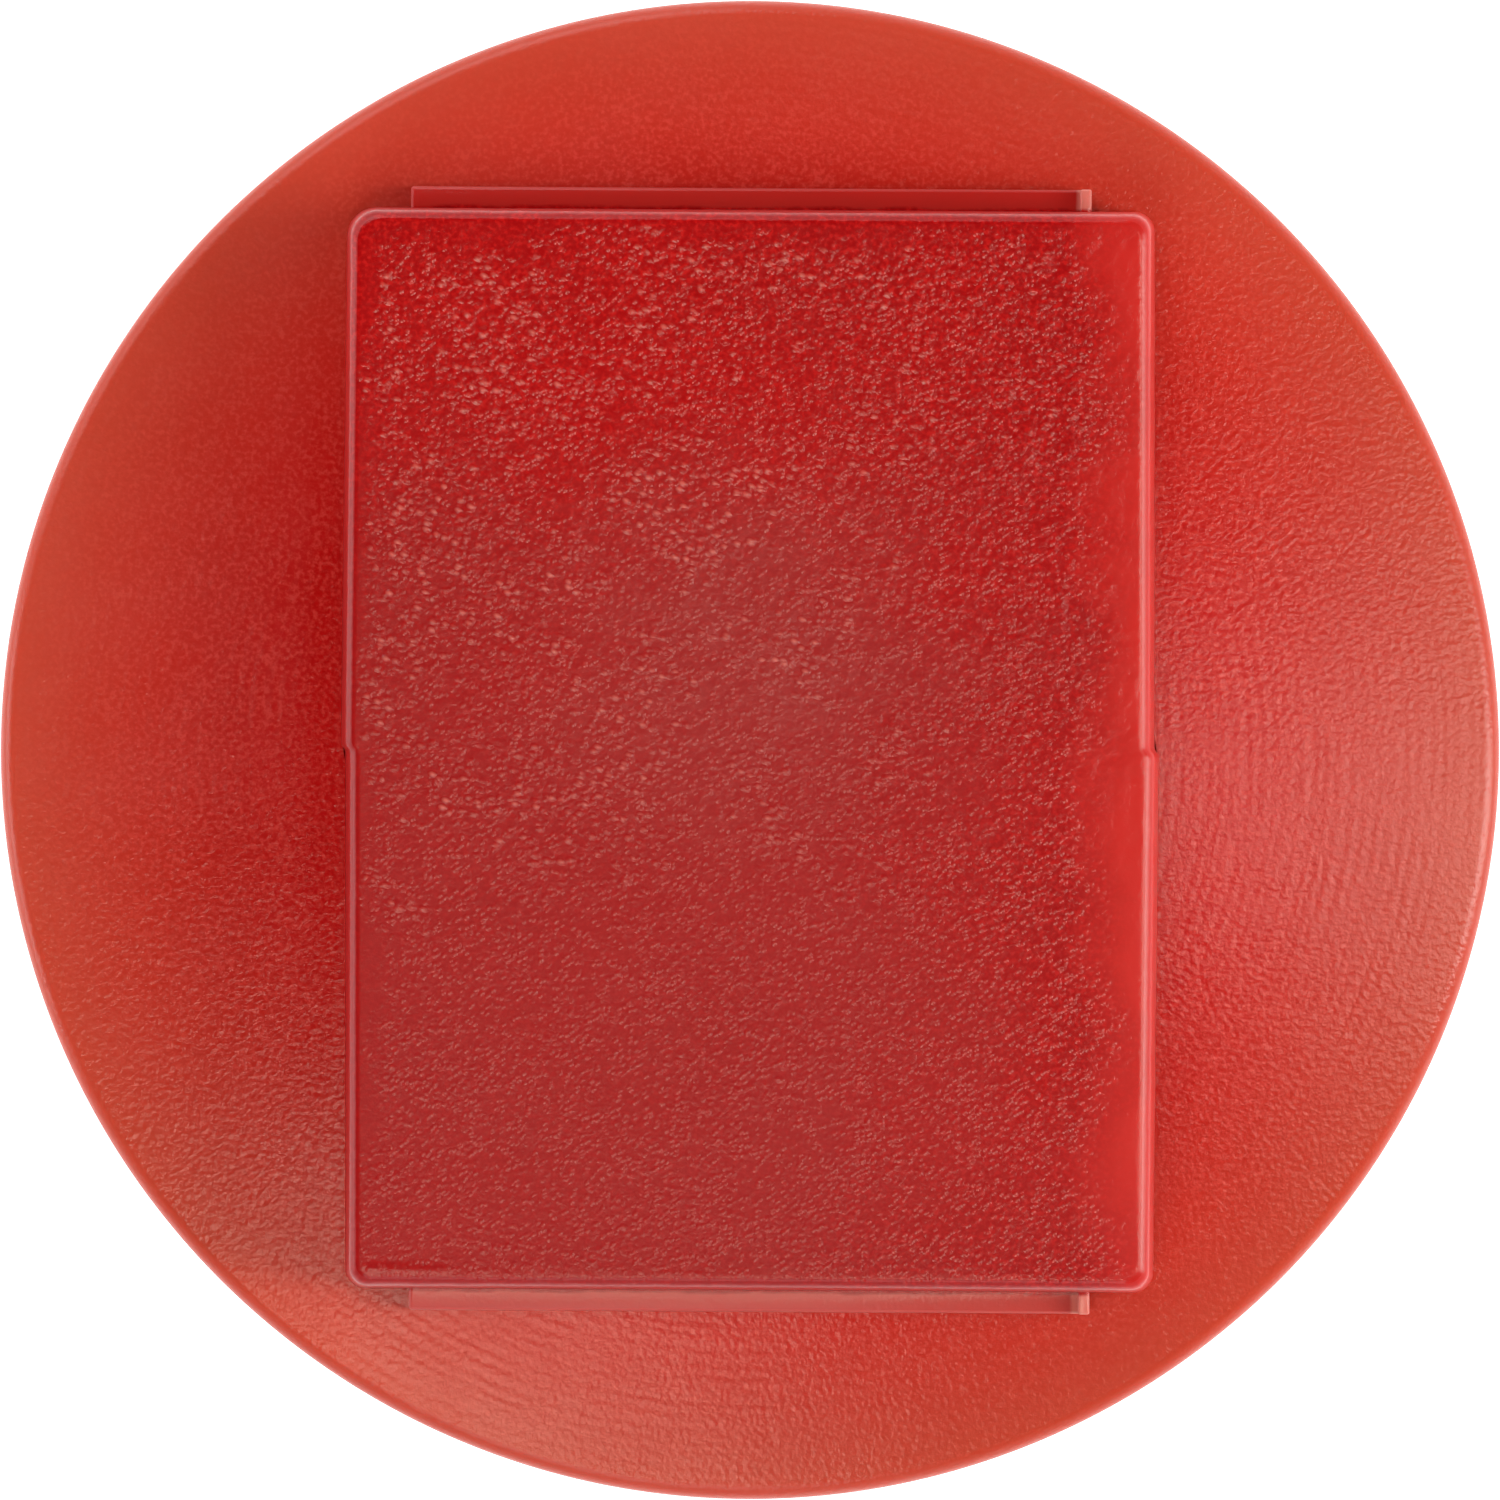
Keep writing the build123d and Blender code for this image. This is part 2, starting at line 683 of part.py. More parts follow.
def return_spring():
    """Compression coil between the cage and the slip washer."""
    return coil(return_coil_r, return_wire_r, z_spring_low, z_spring_top, return_turns)


def latch_cage():
    """Guide bush in the barrel: two radial dog slots above, a two-flat hole below that keeps the spindle."""
    outer = cage_bore_r - seat_gap
    cage = rod(outer, z_cage_low, z_cage_split)
    cage -= rod(rotor_r + loose_gap, z_cage_web_top, z_cage_split + past)
    cage -= double_d(
        spindle_r + slide_fit, spindle_flat + slide_fit, z_cage_low - past, z_cage_web_top + past
    )
    half = dog_width / 2 + slide_fit
    cage -= block((-half, half), (-outer - past, outer + past), (z_dog_low - slide_fit, z_cage_split + past))
    middle = (z_dog_low + z_dog_top) / 2
    half_groove = dog_ring_wire / 2 + slide_fit
    cage -= ring(dog_back_r, outer + past, middle - half_groove, middle + half_groove)
    return cage


def cage_cover():
    """Ring that closes the dog slots and carries the return spring."""
    return ring(rotor_r + loose_gap, cage_bore_r - seat_gap, z_cage_split, z_cage_top - seat_gap)


def cage_ring():
    """Snap ring under the cage, in the barrel's groove."""
    outer = cage_bore_r + cage_ring_bite
    top = z_cage_ring_low + cage_ring_thickness
    return open_ring(outer - cage_ring_width, outer, z_cage_ring_low, top, cage_ring_opening)


def latch_dog():
    """Sliding latch whose nose follows the rotor's tapered groove; the upper one."""
    nose_gap = 2 * turn_fit
    low_r = rotor_r + nose_gap
    high_r = low_r - latch_slope * dog_height
    outline = Polygon(
        (low_r, z_dog_low), (dog_back_r, z_dog_low), (dog_back_r, z_dog_top), (high_r, z_dog_top), align=None
    )
    dog = extrude(Plane.YZ * outline, amount=dog_width / 2, both=True)
    return dog & rod(dog_back_r, z_dog_low - past, z_dog_top + past)


def dog_ring_spring():
    """Open spring ring that presses both dogs inwards."""
    middle = (z_dog_low + z_dog_top) / 2
    inner = dog_back_r + seat_gap
    half = dog_ring_wire / 2
    return open_ring(inner, inner + dog_ring_wire, middle - half, middle + half, dog_ring_opening)


# ---------------------------------------------------------------- behind the panel
def tab_washer():
    """Toothed washer against the panel's back, its tab in the barrel's keyway."""
    top = -panel_thickness
    low = top - tab_washer_thickness
    washer = ring(neck_r + loose_gap, nut_r, low, top)
    half = keyway_width / 2 - loose_gap
    washer += block((-half, half), (keyway_r + loose_gap, (neck_r + nut_r) / 2), (low, top))
    notch = block(
        (nut_r - washer_notch_depth, nut_r + past),
        (-washer_notch_width / 2, washer_notch_width / 2),
        (low - past, top + past),
    )
    for number in range(washer_notch_count):
        washer -= Rot(0, 0, 360 / washer_notch_count * (number + 0.5)) * notch
    return washer


def lock_nut():
    """Round nut with grip notches; its bore runs on the crests of the barrel's thread."""
    low = z_nut_top - nut_height
    root = neck_r + seat_gap
    outline = [(root, low), (nut_r - nut_edge_cut, low), (nut_r, low + nut_edge_cut)]
    outline += [(nut_r, z_nut_top - nut_edge_cut), (nut_r - nut_edge_cut, z_nut_top), (root, z_nut_top)]
    nut = turned(outline)
    notch = rod(nut_notch_r, low - past, z_nut_top + past, nut_r + nut_notch_r - nut_notch_depth)
    for number in range(nut_notch_count):
        nut -= Rot(0, 0, 360 / nut_notch_count * (number + 0.5)) * notch
    return nut


def contact_carrier():
    """Square adapter that takes the barrel's tail in a bayonet bore and the modules on its back."""
    half = carrier_half
    body = block((-half, half), (-half, half), (z_module_top, z_carrier_top))
    body = fillet(body.edges().filter_by(Axis.Z), carrier_corner_r)
    body = chamfer(body.faces().sort_by(Axis.Z)[-1].edges(), carrier_edge_cut)
    seat = z_tail_low - seat_gap
    lug_r = tail_r + bayonet_lug_height + loose_gap
    body -= rod(tail_r + loose_gap, seat, z_carrier_top + past)
    body -= rod(cage_bore_r + pass_gap, z_module_top - past, seat + past)
    body -= rod(lug_r, seat, z_tail_low + pass_gap + bayonet_lug_length + loose_gap)
    entry_half = bayonet_lug_width / 2 + pass_gap
    entry = block((0, lug_r), (-entry_half, entry_half), (seat, z_carrier_top + past))
    entry = entry & rod(lug_r, seat, z_carrier_top + past)
    for piece in both(Rot(0, 0, bayonet_turn) * entry):
        body -= piece
    body -= lever_recess()
    body -= rod(lever_pin_r + seat_gap / 2, z_carrier_top - lever_pin_length, z_carrier_top, pin_at, pin_at)
    for side in (1, -1):
        for x in (-module_middle, module_middle):
            body -= snap_slot(x, side)
    return body


def snap_slot(x, side):
    """Slot in the carrier's side for one snap hook, less the ledge that the hook's nose holds."""
    x_span = (x - snap_width / 2 - loose_gap, x + snap_width / 2 + loose_gap)
    slot_in = side * (hook_in - loose_gap - snap_nose)
    slot_top = z_module_top + snap_height + loose_gap
    slot = block(x_span, sorted((slot_in, side * (carrier_half + past))), (z_module_top - past, slot_top))
    ledge_out = side * (hook_in - loose_gap)
    ledge_top = z_module_top + snap_height - 2 * snap_nose - loose_gap
    ledge = block(x_span, sorted((slot_in, ledge_out)), (z_module_top - past, ledge_top))
    return slot - ledge


def lever_outline(grow):
    """Eye and arm of the lock lever in plan, shut."""
    eye = Pos(pin_at, pin_at) * Circle(lever_eye_r + grow)
    middle_x = pin_at - lever_reach / 2
    arm = Pos(middle_x, pin_at + lever_eye_r - lever_width / 2) * Rectangle(
        lever_reach + 2 * grow, lever_width + 2 * grow
    )
    return eye + arm


def lever_recess():
    """Room for the lever in the carrier's top edge, open to the outside."""
    low = z_carrier_top - lever_thickness - slide_fit
    z_span = (low, z_carrier_top + past)
    open_y = (pin_at + lever_eye_r - lever_width - loose_gap, carrier_half + past)
    room = extrude(Pos(0, 0, low) * lever_outline(loose_gap), amount=lever_thickness + past)
    room += block((pin_at - lever_reach - loose_gap, pin_at), open_y, z_span)
    room += block((pin_at, carrier_half + past), (pin_at, carrier_half + past), z_span)
    return room


def lock_lever():
    """Lever that locks the carrier on the barrel."""
    low = z_carrier_top - lever_thickness
    lever = extrude(Pos(0, 0, low) * lever_outline(0), amount=lever_thickness)
    grip_x = pin_at - lever_reach
    grip_y = pin_at + lever_eye_r
    grip_x_span = (grip_x, grip_x + lever_grip_length)
    lever += block(grip_x_span, (grip_y - lever_width, grip_y + lever_grip), (low, z_carrier_top))
    return lever - rod(lever_pin_r + turn_fit, low - past, z_carrier_top + past, pin_at, pin_at)


def lever_pin():
    """Headed pin of the lever, pressed into the carrier."""
    seat = z_carrier_top + seat_gap
    pin = rod(lever_pin_r, z_carrier_top - lever_pin_length, seat, pin_at, pin_at)
    return pin + rod(lever_pin_head_r, seat, seat + lever_pin_head, pin_at, pin_at)


# ---------------------------------------------------------------- contact module, built on the +X side
def rounded_module(piece):
    """Module shell with its upper long edges rounded and its terminal corners cut back."""
    long_edges = piece.edges().filter_by(Axis.X).sort_by(Axis.Z)
    piece = fillet(long_edges[-2:], module_edge_r)
    long_edges = piece.edges().filter_by(Axis.X).sort_by(Axis.Z)
    return chamfer(long_edges[:2], module_corner_cut)


def grip_grooves(side):
    """Shallow finger grooves across one end of the module."""
    y_span = sorted((side * (carrier_half - grip_groove_depth), side * (carrier_half + past)))
    x_span = (module_in + 2 * module_edge_r, module_split - 2 * module_edge_r)
    first = z_module_top - 2 * module_wall
    tops = [first - 2 * grip_groove_width * number for number in range(grip_groove_count)]
    return [block(x_span, y_span, (top - grip_groove_width, top)) for top in tops]


def contact_body():
    """Moulded shell: ceiling with the rod's hole, terminal shelves, wire and driver holes, snap hooks."""
    inner_y = carrier_half - module_wall
    body = block((module_in, module_split), (-carrier_half, carrier_half), (z_module_low, z_module_top))
    body = rounded_module(body)
    inner_x = module_in + module_wall
    body -= block((inner_x, module_out + past), (-inner_y, inner_y), (z_module_floor, z_module_ceiling))
    for side in (1, -1):
        body += terminal_shelf(side)
        screw = (plunger_x, side * terminal_screw_y)
        shelf_top = z_shelf + shelf_thickness
        body -= rod(terminal_screw_r + loose_gap, z_shelf - past, shelf_top + pass_gap, *screw)
        body -= rod(driver_hole_r, z_module_low - past, z_module_floor + past, *screw)
        wire = Rot(90, 0, 0) * Cylinder(wire_hole_r, 2 * module_wall)
        body -= Pos(plunger_x, side * carrier_half, z_shelf - terminal_thickness) * wire
        body += snap_hook(side)
        for groove in grip_grooves(side):
            body -= groove
    body -= rod(rod_r + slide_fit, z_module_ceiling - past, z_module_top + past, plunger_x, 0)
    return body


def terminal_shelf(side):
    """Shelf over one terminal's foot and the wall behind its riser."""
    x_span = (module_in + module_wall, module_split)
    start = riser_y + terminal_thickness + seat_gap
    shelf_y = sorted((side * start, side * (carrier_half - module_wall)))
    wall_y = sorted((side * start, side * (start + shelf_wall)))
    shelf = block(x_span, shelf_y, (z_shelf, z_shelf + shelf_thickness))
    return shelf + block(x_span, wall_y, (z_shelf, z_module_ceiling))


def snap_hook(side):
    """Hook that holds the module in the carrier's slot."""
    x_span = (module_middle - snap_width / 2, module_middle + snap_width / 2)
    shank_y = sorted((side * hook_in, side * carrier_half))
    nose_y = sorted((side * (hook_in - snap_nose), side * carrier_half))
    top = z_module_top + snap_height
    shank = block(x_span, shank_y, (z_module_ceiling, top))
    nose = block(x_span, nose_y, (top - 2 * snap_nose, top))
    return shank + nose


def contact_cover():
    """Flat lid on the module's outer side, two lips inside the shell."""
    cover = block((module_split, module_out), (-carrier_half, carrier_half), (z_module_low, z_module_top))
    cover = rounded_module(cover)
    lip_x = (module_split - module_cover, module_split + module_cover / 2)
    lip_y = riser_y - pass_gap
    for top in (z_module_ceiling - seat_gap, z_module_floor + seat_gap + module_cover):
        cover += block(lip_x, (-lip_y, lip_y), (top - module_cover, top))
    return cover


def contact_plunger():
    """Rod, windowed slider and guide stub in one moulding."""
    x = plunger_x
    half_x = slider_width / 2
    half_y = slider_depth / 2
    middle = (z_slider_low + z_slider_top) / 2
    piece = rod(rod_r, middle, z_pusher_low - seat_gap, x, 0)
    piece += block((x - half_x, x + half_x), (-half_y, half_y), (z_slider_low, z_slider_top))
    piece += rod(stub_r, z_slider_low - stub_length, middle, x, 0)
    window_top, window_low = window_levels()
    window_x = (x - window_width / 2, x + window_width / 2)
    return piece - block(window_x, (-half_y - past, half_y + past), (window_low, window_top))


def window_levels():
    """Top and bottom of the slider's window; the closed bridge meets tongues that lie under the ceiling."""
    top = z_module_ceiling - seat_gap - terminal_thickness - contact_height
    return top, top - window_height


def bridge_levels(closed_at_rest):
    """Bottom and top of the bridge strip: against the window's top when closed at rest, else its bottom."""
    top, low = window_levels()
    if closed_at_rest:
        return top - seat_gap - bridge_thickness, top - seat_gap
    return low + seat_gap, low + seat_gap + bridge_thickness


def contact_bridge(closed_at_rest):
    """Moving strip with two contact tips, facing up when closed at rest and down when open."""
    low, high = bridge_levels(closed_at_rest)
    x_span = (plunger_x - bridge_width / 2, plunger_x + bridge_width / 2)
    strip = block(x_span, (-bridge_half_length, bridge_half_length), (low, high))
    middle = (low + high) / 2
    tip = (middle, high + contact_height) if closed_at_rest else (low - contact_height, middle)
    for y in (-contact_y, contact_y):
        strip += rod(contact_r, *tip, plunger_x, y)
    return strip


def bridge_spring(closed_at_rest):
    """Small coil that presses the bridge against its end of the window."""
    window_top, window_low = window_levels()
    bridge_low, bridge_high = bridge_levels(closed_at_rest)
    low, high = (window_low, bridge_low) if closed_at_rest else (bridge_high, window_top)
    wire = coil(bridge_coil_r, bridge_wire_r, low + seat_gap, high - seat_gap, bridge_turns)
    return Pos(plunger_x, 0, 0) * wire


def plunger_spring():
    """Coil under the slider that brings the plunger back."""
    low = z_module_floor + seat_gap
    high = z_slider_low - seat_gap
    return Pos(plunger_x, 0, 0) * coil(plunger_coil_r, plunger_wire_r, low, high, plunger_turns)


def terminal(side, closed_at_rest):
    """Fixed contact: tongue over or under the bridge, riser, and foot for the screw."""
    bridge_low, bridge_high = bridge_levels(closed_at_rest)
    if closed_at_rest:
        tongue_low = bridge_high + contact_height + seat_gap
    else:
        tongue_low = bridge_low - contact_height - travel - seat_gap - terminal_thickness
    tongue_high = tongue_low + terminal_thickness
    foot_low = z_shelf - terminal_thickness
    x_span = (plunger_x - terminal_width / 2, plunger_x + terminal_width / 2)
    outer = riser_y + terminal_thickness
    tongue_y = sorted((side * (outer - terminal_reach), side * outer))
    riser = sorted((side * riser_y, side * outer))
    foot_y = sorted((side * riser_y, side * (carrier_half - module_wall - loose_gap)))
    strip = block(x_span, tongue_y, (tongue_low, tongue_high))
    strip += block(x_span, riser, (foot_low, tongue_high))
    strip += block(x_span, foot_y, (foot_low, z_shelf))
    screw = (plunger_x, side * terminal_screw_y)
    return strip - rod(terminal_screw_r + seat_gap, foot_low - past, z_shelf + past, *screw)


def terminal_screws():
    """Clamp screws of both terminals."""
    seat = z_shelf - terminal_thickness - seat_gap - clamp_thickness
    low = seat - terminal_screw_head
    screws = []
    for side in (1, -1):
        place = (plunger_x, side * terminal_screw_y)
        screw = rod(terminal_screw_head_r, low, seat, *place)
        screw += rod(terminal_screw_r - seat_gap, seat, seat + terminal_screw_length, *place)
        screws.append(screw - cross_recess(terminal_screw_head_r, terminal_screw_head, low, -1, *place))
    return Compound(children=[screw.solid() for screw in screws])


def wire_clamps():
    """Square clamp washers between screw heads and terminals."""
    top = z_shelf - terminal_thickness - seat_gap
    low = top - clamp_thickness
    half = clamp_size / 2
    clamps = []
    for side in (1, -1):
        x, y = plunger_x, side * terminal_screw_y
        clamp = block((x - half, x + half), (y - half, y + half), (low, top))
        clamps.append(clamp - rod(terminal_screw_r + seat_gap, low - past, top + past, x, y))
    return Compound(children=[clamp.solid() for clamp in clamps])


def module(prefix, closed_at_rest, top_side):
    """All pieces of one contact module on the +X side, by node name; top_side is +1 or -1 along Y."""
    return {
        prefix + "_contact_body": contact_body(),
        prefix + "_contact_cover": contact_cover(),
        prefix + "_plunger": contact_plunger(),
        prefix + "_plunger_spring": plunger_spring(),
        prefix + "_bridge": contact_bridge(closed_at_rest),
        prefix + "_bridge_spring": bridge_spring(closed_at_rest),
        prefix + "_terminal_upper": terminal(top_side, closed_at_rest),
        prefix + "_terminal_lower": terminal(-top_side, closed_at_rest),
        prefix + "_terminal_screws": terminal_screws(),
        prefix + "_wire_clamps": wire_clamps(),
    }


# ---------------------------------------------------------------- the whole button
pieces = {
    "mushroom_head": mushroom_head(),
    "grip_cap": grip_cap(),
    "head_screw": head_screw(),
    "head_washer": head_washer(),
    "rotor": rotor(),
    "twist_spring": twist_spring(),
    "spindle": spindle(),
    "rotor_clip": rotor_clip(),
    "slip_washer": slip_washer(),
    "pusher_plate": pusher_plate(),
    "pusher_screw": pusher_screw(),
    "housing": housing(),
    "bezel_ring": bezel_ring(),
    "panel_gasket": panel_gasket(),
    "stem_seal": stem_seal(),
    "seal_cover": seal_cover(),
    "return_spring": return_spring(),
    "latch_cage": latch_cage(),
    "cage_cover": cage_cover(),
    "cage_ring": cage_ring(),
    "latch_dog_upper": latch_dog(),
    "latch_dog_lower": Rot(0, 0, 180) * latch_dog(),
    "dog_ring_spring": dog_ring_spring(),
    "tab_washer": tab_washer(),
    "lock_nut": lock_nut(),
    "contact_carrier": contact_carrier(),
    "lock_lever": lock_lever(),
    "lever_pin": lever_pin(),
}
pieces.update(module("nc", True, 1))
half_turn = Rot(0, 0, 180)
pieces.update({name: half_turn * piece for name, piece in module("no", False, -1).items()})

os.makedirs("parts", exist_ok=True)
for name, piece in pieces.items():
    export_step(piece, f"parts/{name}.step")
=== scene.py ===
import math

import bmesh
import bpy
import numpy as np
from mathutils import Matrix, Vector


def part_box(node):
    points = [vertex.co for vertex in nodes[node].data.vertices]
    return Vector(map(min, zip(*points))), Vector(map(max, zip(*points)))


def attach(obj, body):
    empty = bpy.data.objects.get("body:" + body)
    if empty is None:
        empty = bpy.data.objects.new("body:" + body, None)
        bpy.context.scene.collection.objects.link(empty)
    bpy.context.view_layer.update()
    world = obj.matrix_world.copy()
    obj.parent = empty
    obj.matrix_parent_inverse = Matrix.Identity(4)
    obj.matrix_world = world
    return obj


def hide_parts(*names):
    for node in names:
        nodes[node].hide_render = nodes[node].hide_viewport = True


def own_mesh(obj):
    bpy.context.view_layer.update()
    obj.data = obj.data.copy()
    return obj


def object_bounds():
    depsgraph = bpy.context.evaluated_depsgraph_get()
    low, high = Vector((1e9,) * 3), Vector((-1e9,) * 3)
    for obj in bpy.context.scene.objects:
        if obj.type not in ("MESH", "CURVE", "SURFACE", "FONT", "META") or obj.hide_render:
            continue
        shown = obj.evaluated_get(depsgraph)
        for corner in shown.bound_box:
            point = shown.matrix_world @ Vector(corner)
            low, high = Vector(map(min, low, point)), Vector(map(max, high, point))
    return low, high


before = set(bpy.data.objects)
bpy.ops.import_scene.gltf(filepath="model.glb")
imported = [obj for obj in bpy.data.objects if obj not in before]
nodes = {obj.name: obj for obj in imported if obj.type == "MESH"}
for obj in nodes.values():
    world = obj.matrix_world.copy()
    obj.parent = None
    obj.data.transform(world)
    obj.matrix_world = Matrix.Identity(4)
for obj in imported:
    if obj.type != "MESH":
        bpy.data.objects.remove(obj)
cad_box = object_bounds()
mm = 0.001

# ---------------------------------------------------------------- bench, lamps and camera
# The button stands on the back of its contact modules, on a pale glowing bench, and is looked at from
# straight above its head. Three strip lamps hang near that view, a tall one stands on the right and
# five soft ones stand round about. The walls of the room are pale and its ceiling is dark.

white = (1.0, 1.0, 1.0)
bench_z = cad_box[0][2]
bench_half = 1.5
bench_grey = (0.8, 0.8, 0.8, 1)
bench_glow = 0.90
bench_mesh = bpy.data.meshes.new("bench")
bench_corners = [(x * bench_half, y * bench_half, bench_z) for x, y in ((-1, -1), (1, -1), (1, 1), (-1, 1))]
bench_mesh.from_pydata(bench_corners, [], [(0, 1, 2, 3)])
bench = bpy.data.objects.new("bench", bench_mesh)
bpy.context.scene.collection.objects.link(bench)
bench_paint = bpy.data.materials.new("bench_paint")
bench_paint.use_nodes = True
bench_shader = bench_paint.node_tree.nodes["Principled BSDF"]
bench_shader.inputs["Base Color"].default_value = bench_grey
bench_shader.inputs["Roughness"].default_value = 0.9
bench_shader.inputs["Emission Color"].default_value = (*white, 1)
bench_shader.inputs["Emission Strength"].default_value = bench_glow
bench_mesh.materials.append(bench_paint)

head_low, head_high = (Vector(corner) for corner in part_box("mushroom_head"))
looked_at = Vector((0, 0, head_high.z))
lamp_distance = 0.9


def lamp(name, azimuth, off_vertical, across, along, power, colour):
    """Soft lamp aimed at the head; azimuth runs from +X towards +Y, and along points to the zenith."""
    a, t = math.radians(azimuth), math.radians(off_vertical)
    way = Vector((math.sin(t) * math.cos(a), math.sin(t) * math.sin(a), math.cos(t)))
    light = bpy.data.lights.new(name, "AREA")
    light.shape = "RECTANGLE"
    light.size = across
    light.size_y = along
    light.energy = power
    light.color = colour
    holder = bpy.data.objects.new(name, light)
    holder.location = looked_at + way * lamp_distance
    holder.rotation_euler = (-way).to_track_quat("-Z", "Y").to_euler()
    bpy.context.scene.collection.objects.link(holder)


warm = (1.0, 0.93, 0.84)
golden = (1.0, 0.88, 0.76)
amber = (1.0, 0.82, 0.66)
# name, azimuth and angle off the vertical in degrees, width and length in metres, watts, colour
for setting in (
    ("right_strip", -6, 16, 0.15, 0.24, 0.62, golden),
    ("right_tail", 20, 17, 0.16, 0.22, 0.07, amber),
    ("lower_strip", -112, 16, 0.20, 0.22, 0.82, amber),
    ("right_tower", -6, 50, 0.22, 0.80, 3.0, warm),
    ("right_lamp", 0, 45, 0.45, 0.45, 1.4, white),
    ("lower_lamp", -100, 40, 0.40, 0.40, 0.8, white),
    ("left_fill", 185, 72, 0.50, 0.30, 1.4, white),
    ("far_fill", 145, 62, 0.50, 0.50, 0.9, white),
    ("upper_fill", 110, 52, 0.50, 0.50, 1.5, white),
):
    lamp(*setting)

# the levels are sines of the elevation; the glows are the light of the walls and of the ceiling
wall_top, ceiling_start = 0.10, 0.75
wall_glow, ceiling_glow = 0.75, 0.015
room = bpy.data.worlds.new("room")
room.use_nodes = True
room_tree = room.node_tree
room_way = room_tree.nodes.new("ShaderNodeTexCoord")
room_rise = room_tree.nodes.new("ShaderNodeSeparateXYZ")
room_fall = room_tree.nodes.new("ShaderNodeMapRange")
room_fall.interpolation_type = "SMOOTHSTEP"
room_tree.links.new(room_way.outputs["Generated"], room_rise.inputs[0])
room_tree.links.new(room_rise.outputs["Z"], room_fall.inputs["Value"])
for place, amount in zip(("From Min", "From Max"), (wall_top, ceiling_start)):
    room_fall.inputs[place].default_value = amount
for place, amount in zip(("To Min", "To Max"), (wall_glow, ceiling_glow)):
    room_fall.inputs[place].default_value = amount
room_tree.links.new(room_fall.outputs["Result"], room_tree.nodes["Background"].inputs["Strength"])
room_tree.nodes["Background"].inputs["Color"].default_value = (*white, 1)
bpy.context.scene.world = room
bpy.context.scene.view_settings.view_transform = "Standard"

camera_distance = 0.60
framed_width = 40.16 * mm
framed_z = head_high.z - 3 * mm
camera_roll = math.radians(0.35)
lens = bpy.data.cameras.new("camera")
lens.sensor_width = 36.0
lens.lens = lens.sensor_width * camera_distance / framed_width
lens.clip_end = 10.0
camera = bpy.data.objects.new("camera", lens)
camera.location = (0, 0, framed_z + camera_distance)
camera.rotation_euler = (0, 0, camera_roll)
bpy.context.scene.collection.objects.link(camera)
bpy.context.scene.camera = camera

# ---------------------------------------------------------------- mushroom head
# The push surface is one moulding in signal red plastic, 40 mm across. The mould insert was faced on a
# lathe, so the deck carries fine concentric marks. Ribs, splash skirt and hub stand on its underside.


def bumps(x, y, cell, seed):
    """Smooth seeded heights from -1 to 1 over the plane, one bump to a cell."""
    count, centre = 1024, 300.0
    table = np.random.default_rng(seed).uniform(-1, 1, (count, count))
    u, v = x / cell + centre, y / cell + centre
    i, j = np.floor(u).astype(int), np.floor(v).astype(int)
    fu, fv = u - i, v - j
    fu, fv = fu * fu * (3 - 2 * fu), fv * fv * (3 - 2 * fv)
    i, j = i % (count - 1), j % (count - 1)
    low = table[i, j] * (1 - fu) + table[i + 1, j] * fu
    high = table[i, j + 1] * (1 - fu) + table[i + 1, j + 1] * fu
    return low * (1 - fv) + high * fv


def solid(name, points, faces):
    """Object from points and faces, with its faces turned outwards."""
    mesh = bpy.data.meshes.new(name)
    mesh.from_pydata(np.asarray(points, float).tolist(), [], faces)
    shape = bmesh.new()
    shape.from_mesh(mesh)
    bmesh.ops.recalc_face_normals(shape, faces=shape.faces)
    shape.to_mesh(mesh)
    shape.free()
    piece = bpy.data.objects.new(name, mesh)
    bpy.context.scene.collection.objects.link(piece)
    return piece


def ring_pairs(count):
    """Each number below a count with the one after it, round to the start."""
    return [(k, (k + 1) % count) for k in range(count)]


def wrapped(profile, around, height=None, reach=None):
    """Points and faces of a closed (radius, z) profile carried round the axis, its z and radius adjusted."""
    profile = np.asarray(profile, float)
    turn = np.linspace(0, 2 * math.pi, around, endpoint=False)[None, :]
    r = np.repeat(profile[:, :1], around, axis=1)
    z = np.repeat(profile[:, 1:], around, axis=1)
    turn = np.broadcast_to(turn, r.shape)
    if height is not None:
        z = z + height(r, turn, z)
    if reach is not None:
        r = reach(r, turn, z)
    points = np.stack([r * np.cos(turn), r * np.sin(turn), z], axis=-1).reshape(-1, 3)
    rows = len(profile)
    faces = []
    for row in range(rows):
        here, there = row * around, (row + 1) % rows * around
        faces += [(here + a, here + b, there + b, there + a) for a, b in ring_pairs(around)]
    return points, faces


def side_span(side, inner, outer):
    """Two places on one side of the middle, in rising order; side is 1 or -1."""
    return sorted((side * inner, side * outer))


def brick(x_span, y_span, z_span, turn=0.0):
    """Points and faces of a box between two values on each axis, turned about the upright axis."""
    corners = [(x, y, z) for x in x_span for y in y_span for z in z_span]
    c, s = math.cos(turn), math.sin(turn)
    points = [(x * c - y * s, x * s + y * c, z) for x, y, z in corners]
    return points, [(0, 1, 3, 2), (4, 6, 7, 5), (0, 4, 5, 1), (2, 3, 7, 6), (0, 2, 6, 4), (1, 5, 7, 3)]


def gathered(shapes):
    """Several (points, faces) shapes as one."""
    points, faces = [], []
    for more_points, more_faces in shapes:
        start = len(points)
        points += [tuple(p) for p in more_points]
        faces += [tuple(start + k for k in face) for face in more_faces]
    return points, faces


def worked(piece, operation, shapes):
    """Adds shapes to a piece or cuts them from it."""
    tool = solid("tool", *gathered(shapes))
    change = piece.modifiers.new("work", "BOOLEAN")
    change.operation = operation
    change.solver = "MANIFOLD"
    change.object = tool
    graph = bpy.context.evaluated_depsgraph_get()
    finished = bpy.data.meshes.new_from_object(piece.evaluated_get(graph))
    piece.modifiers.clear()
    piece.data = finished
    bpy.data.objects.remove(tool)


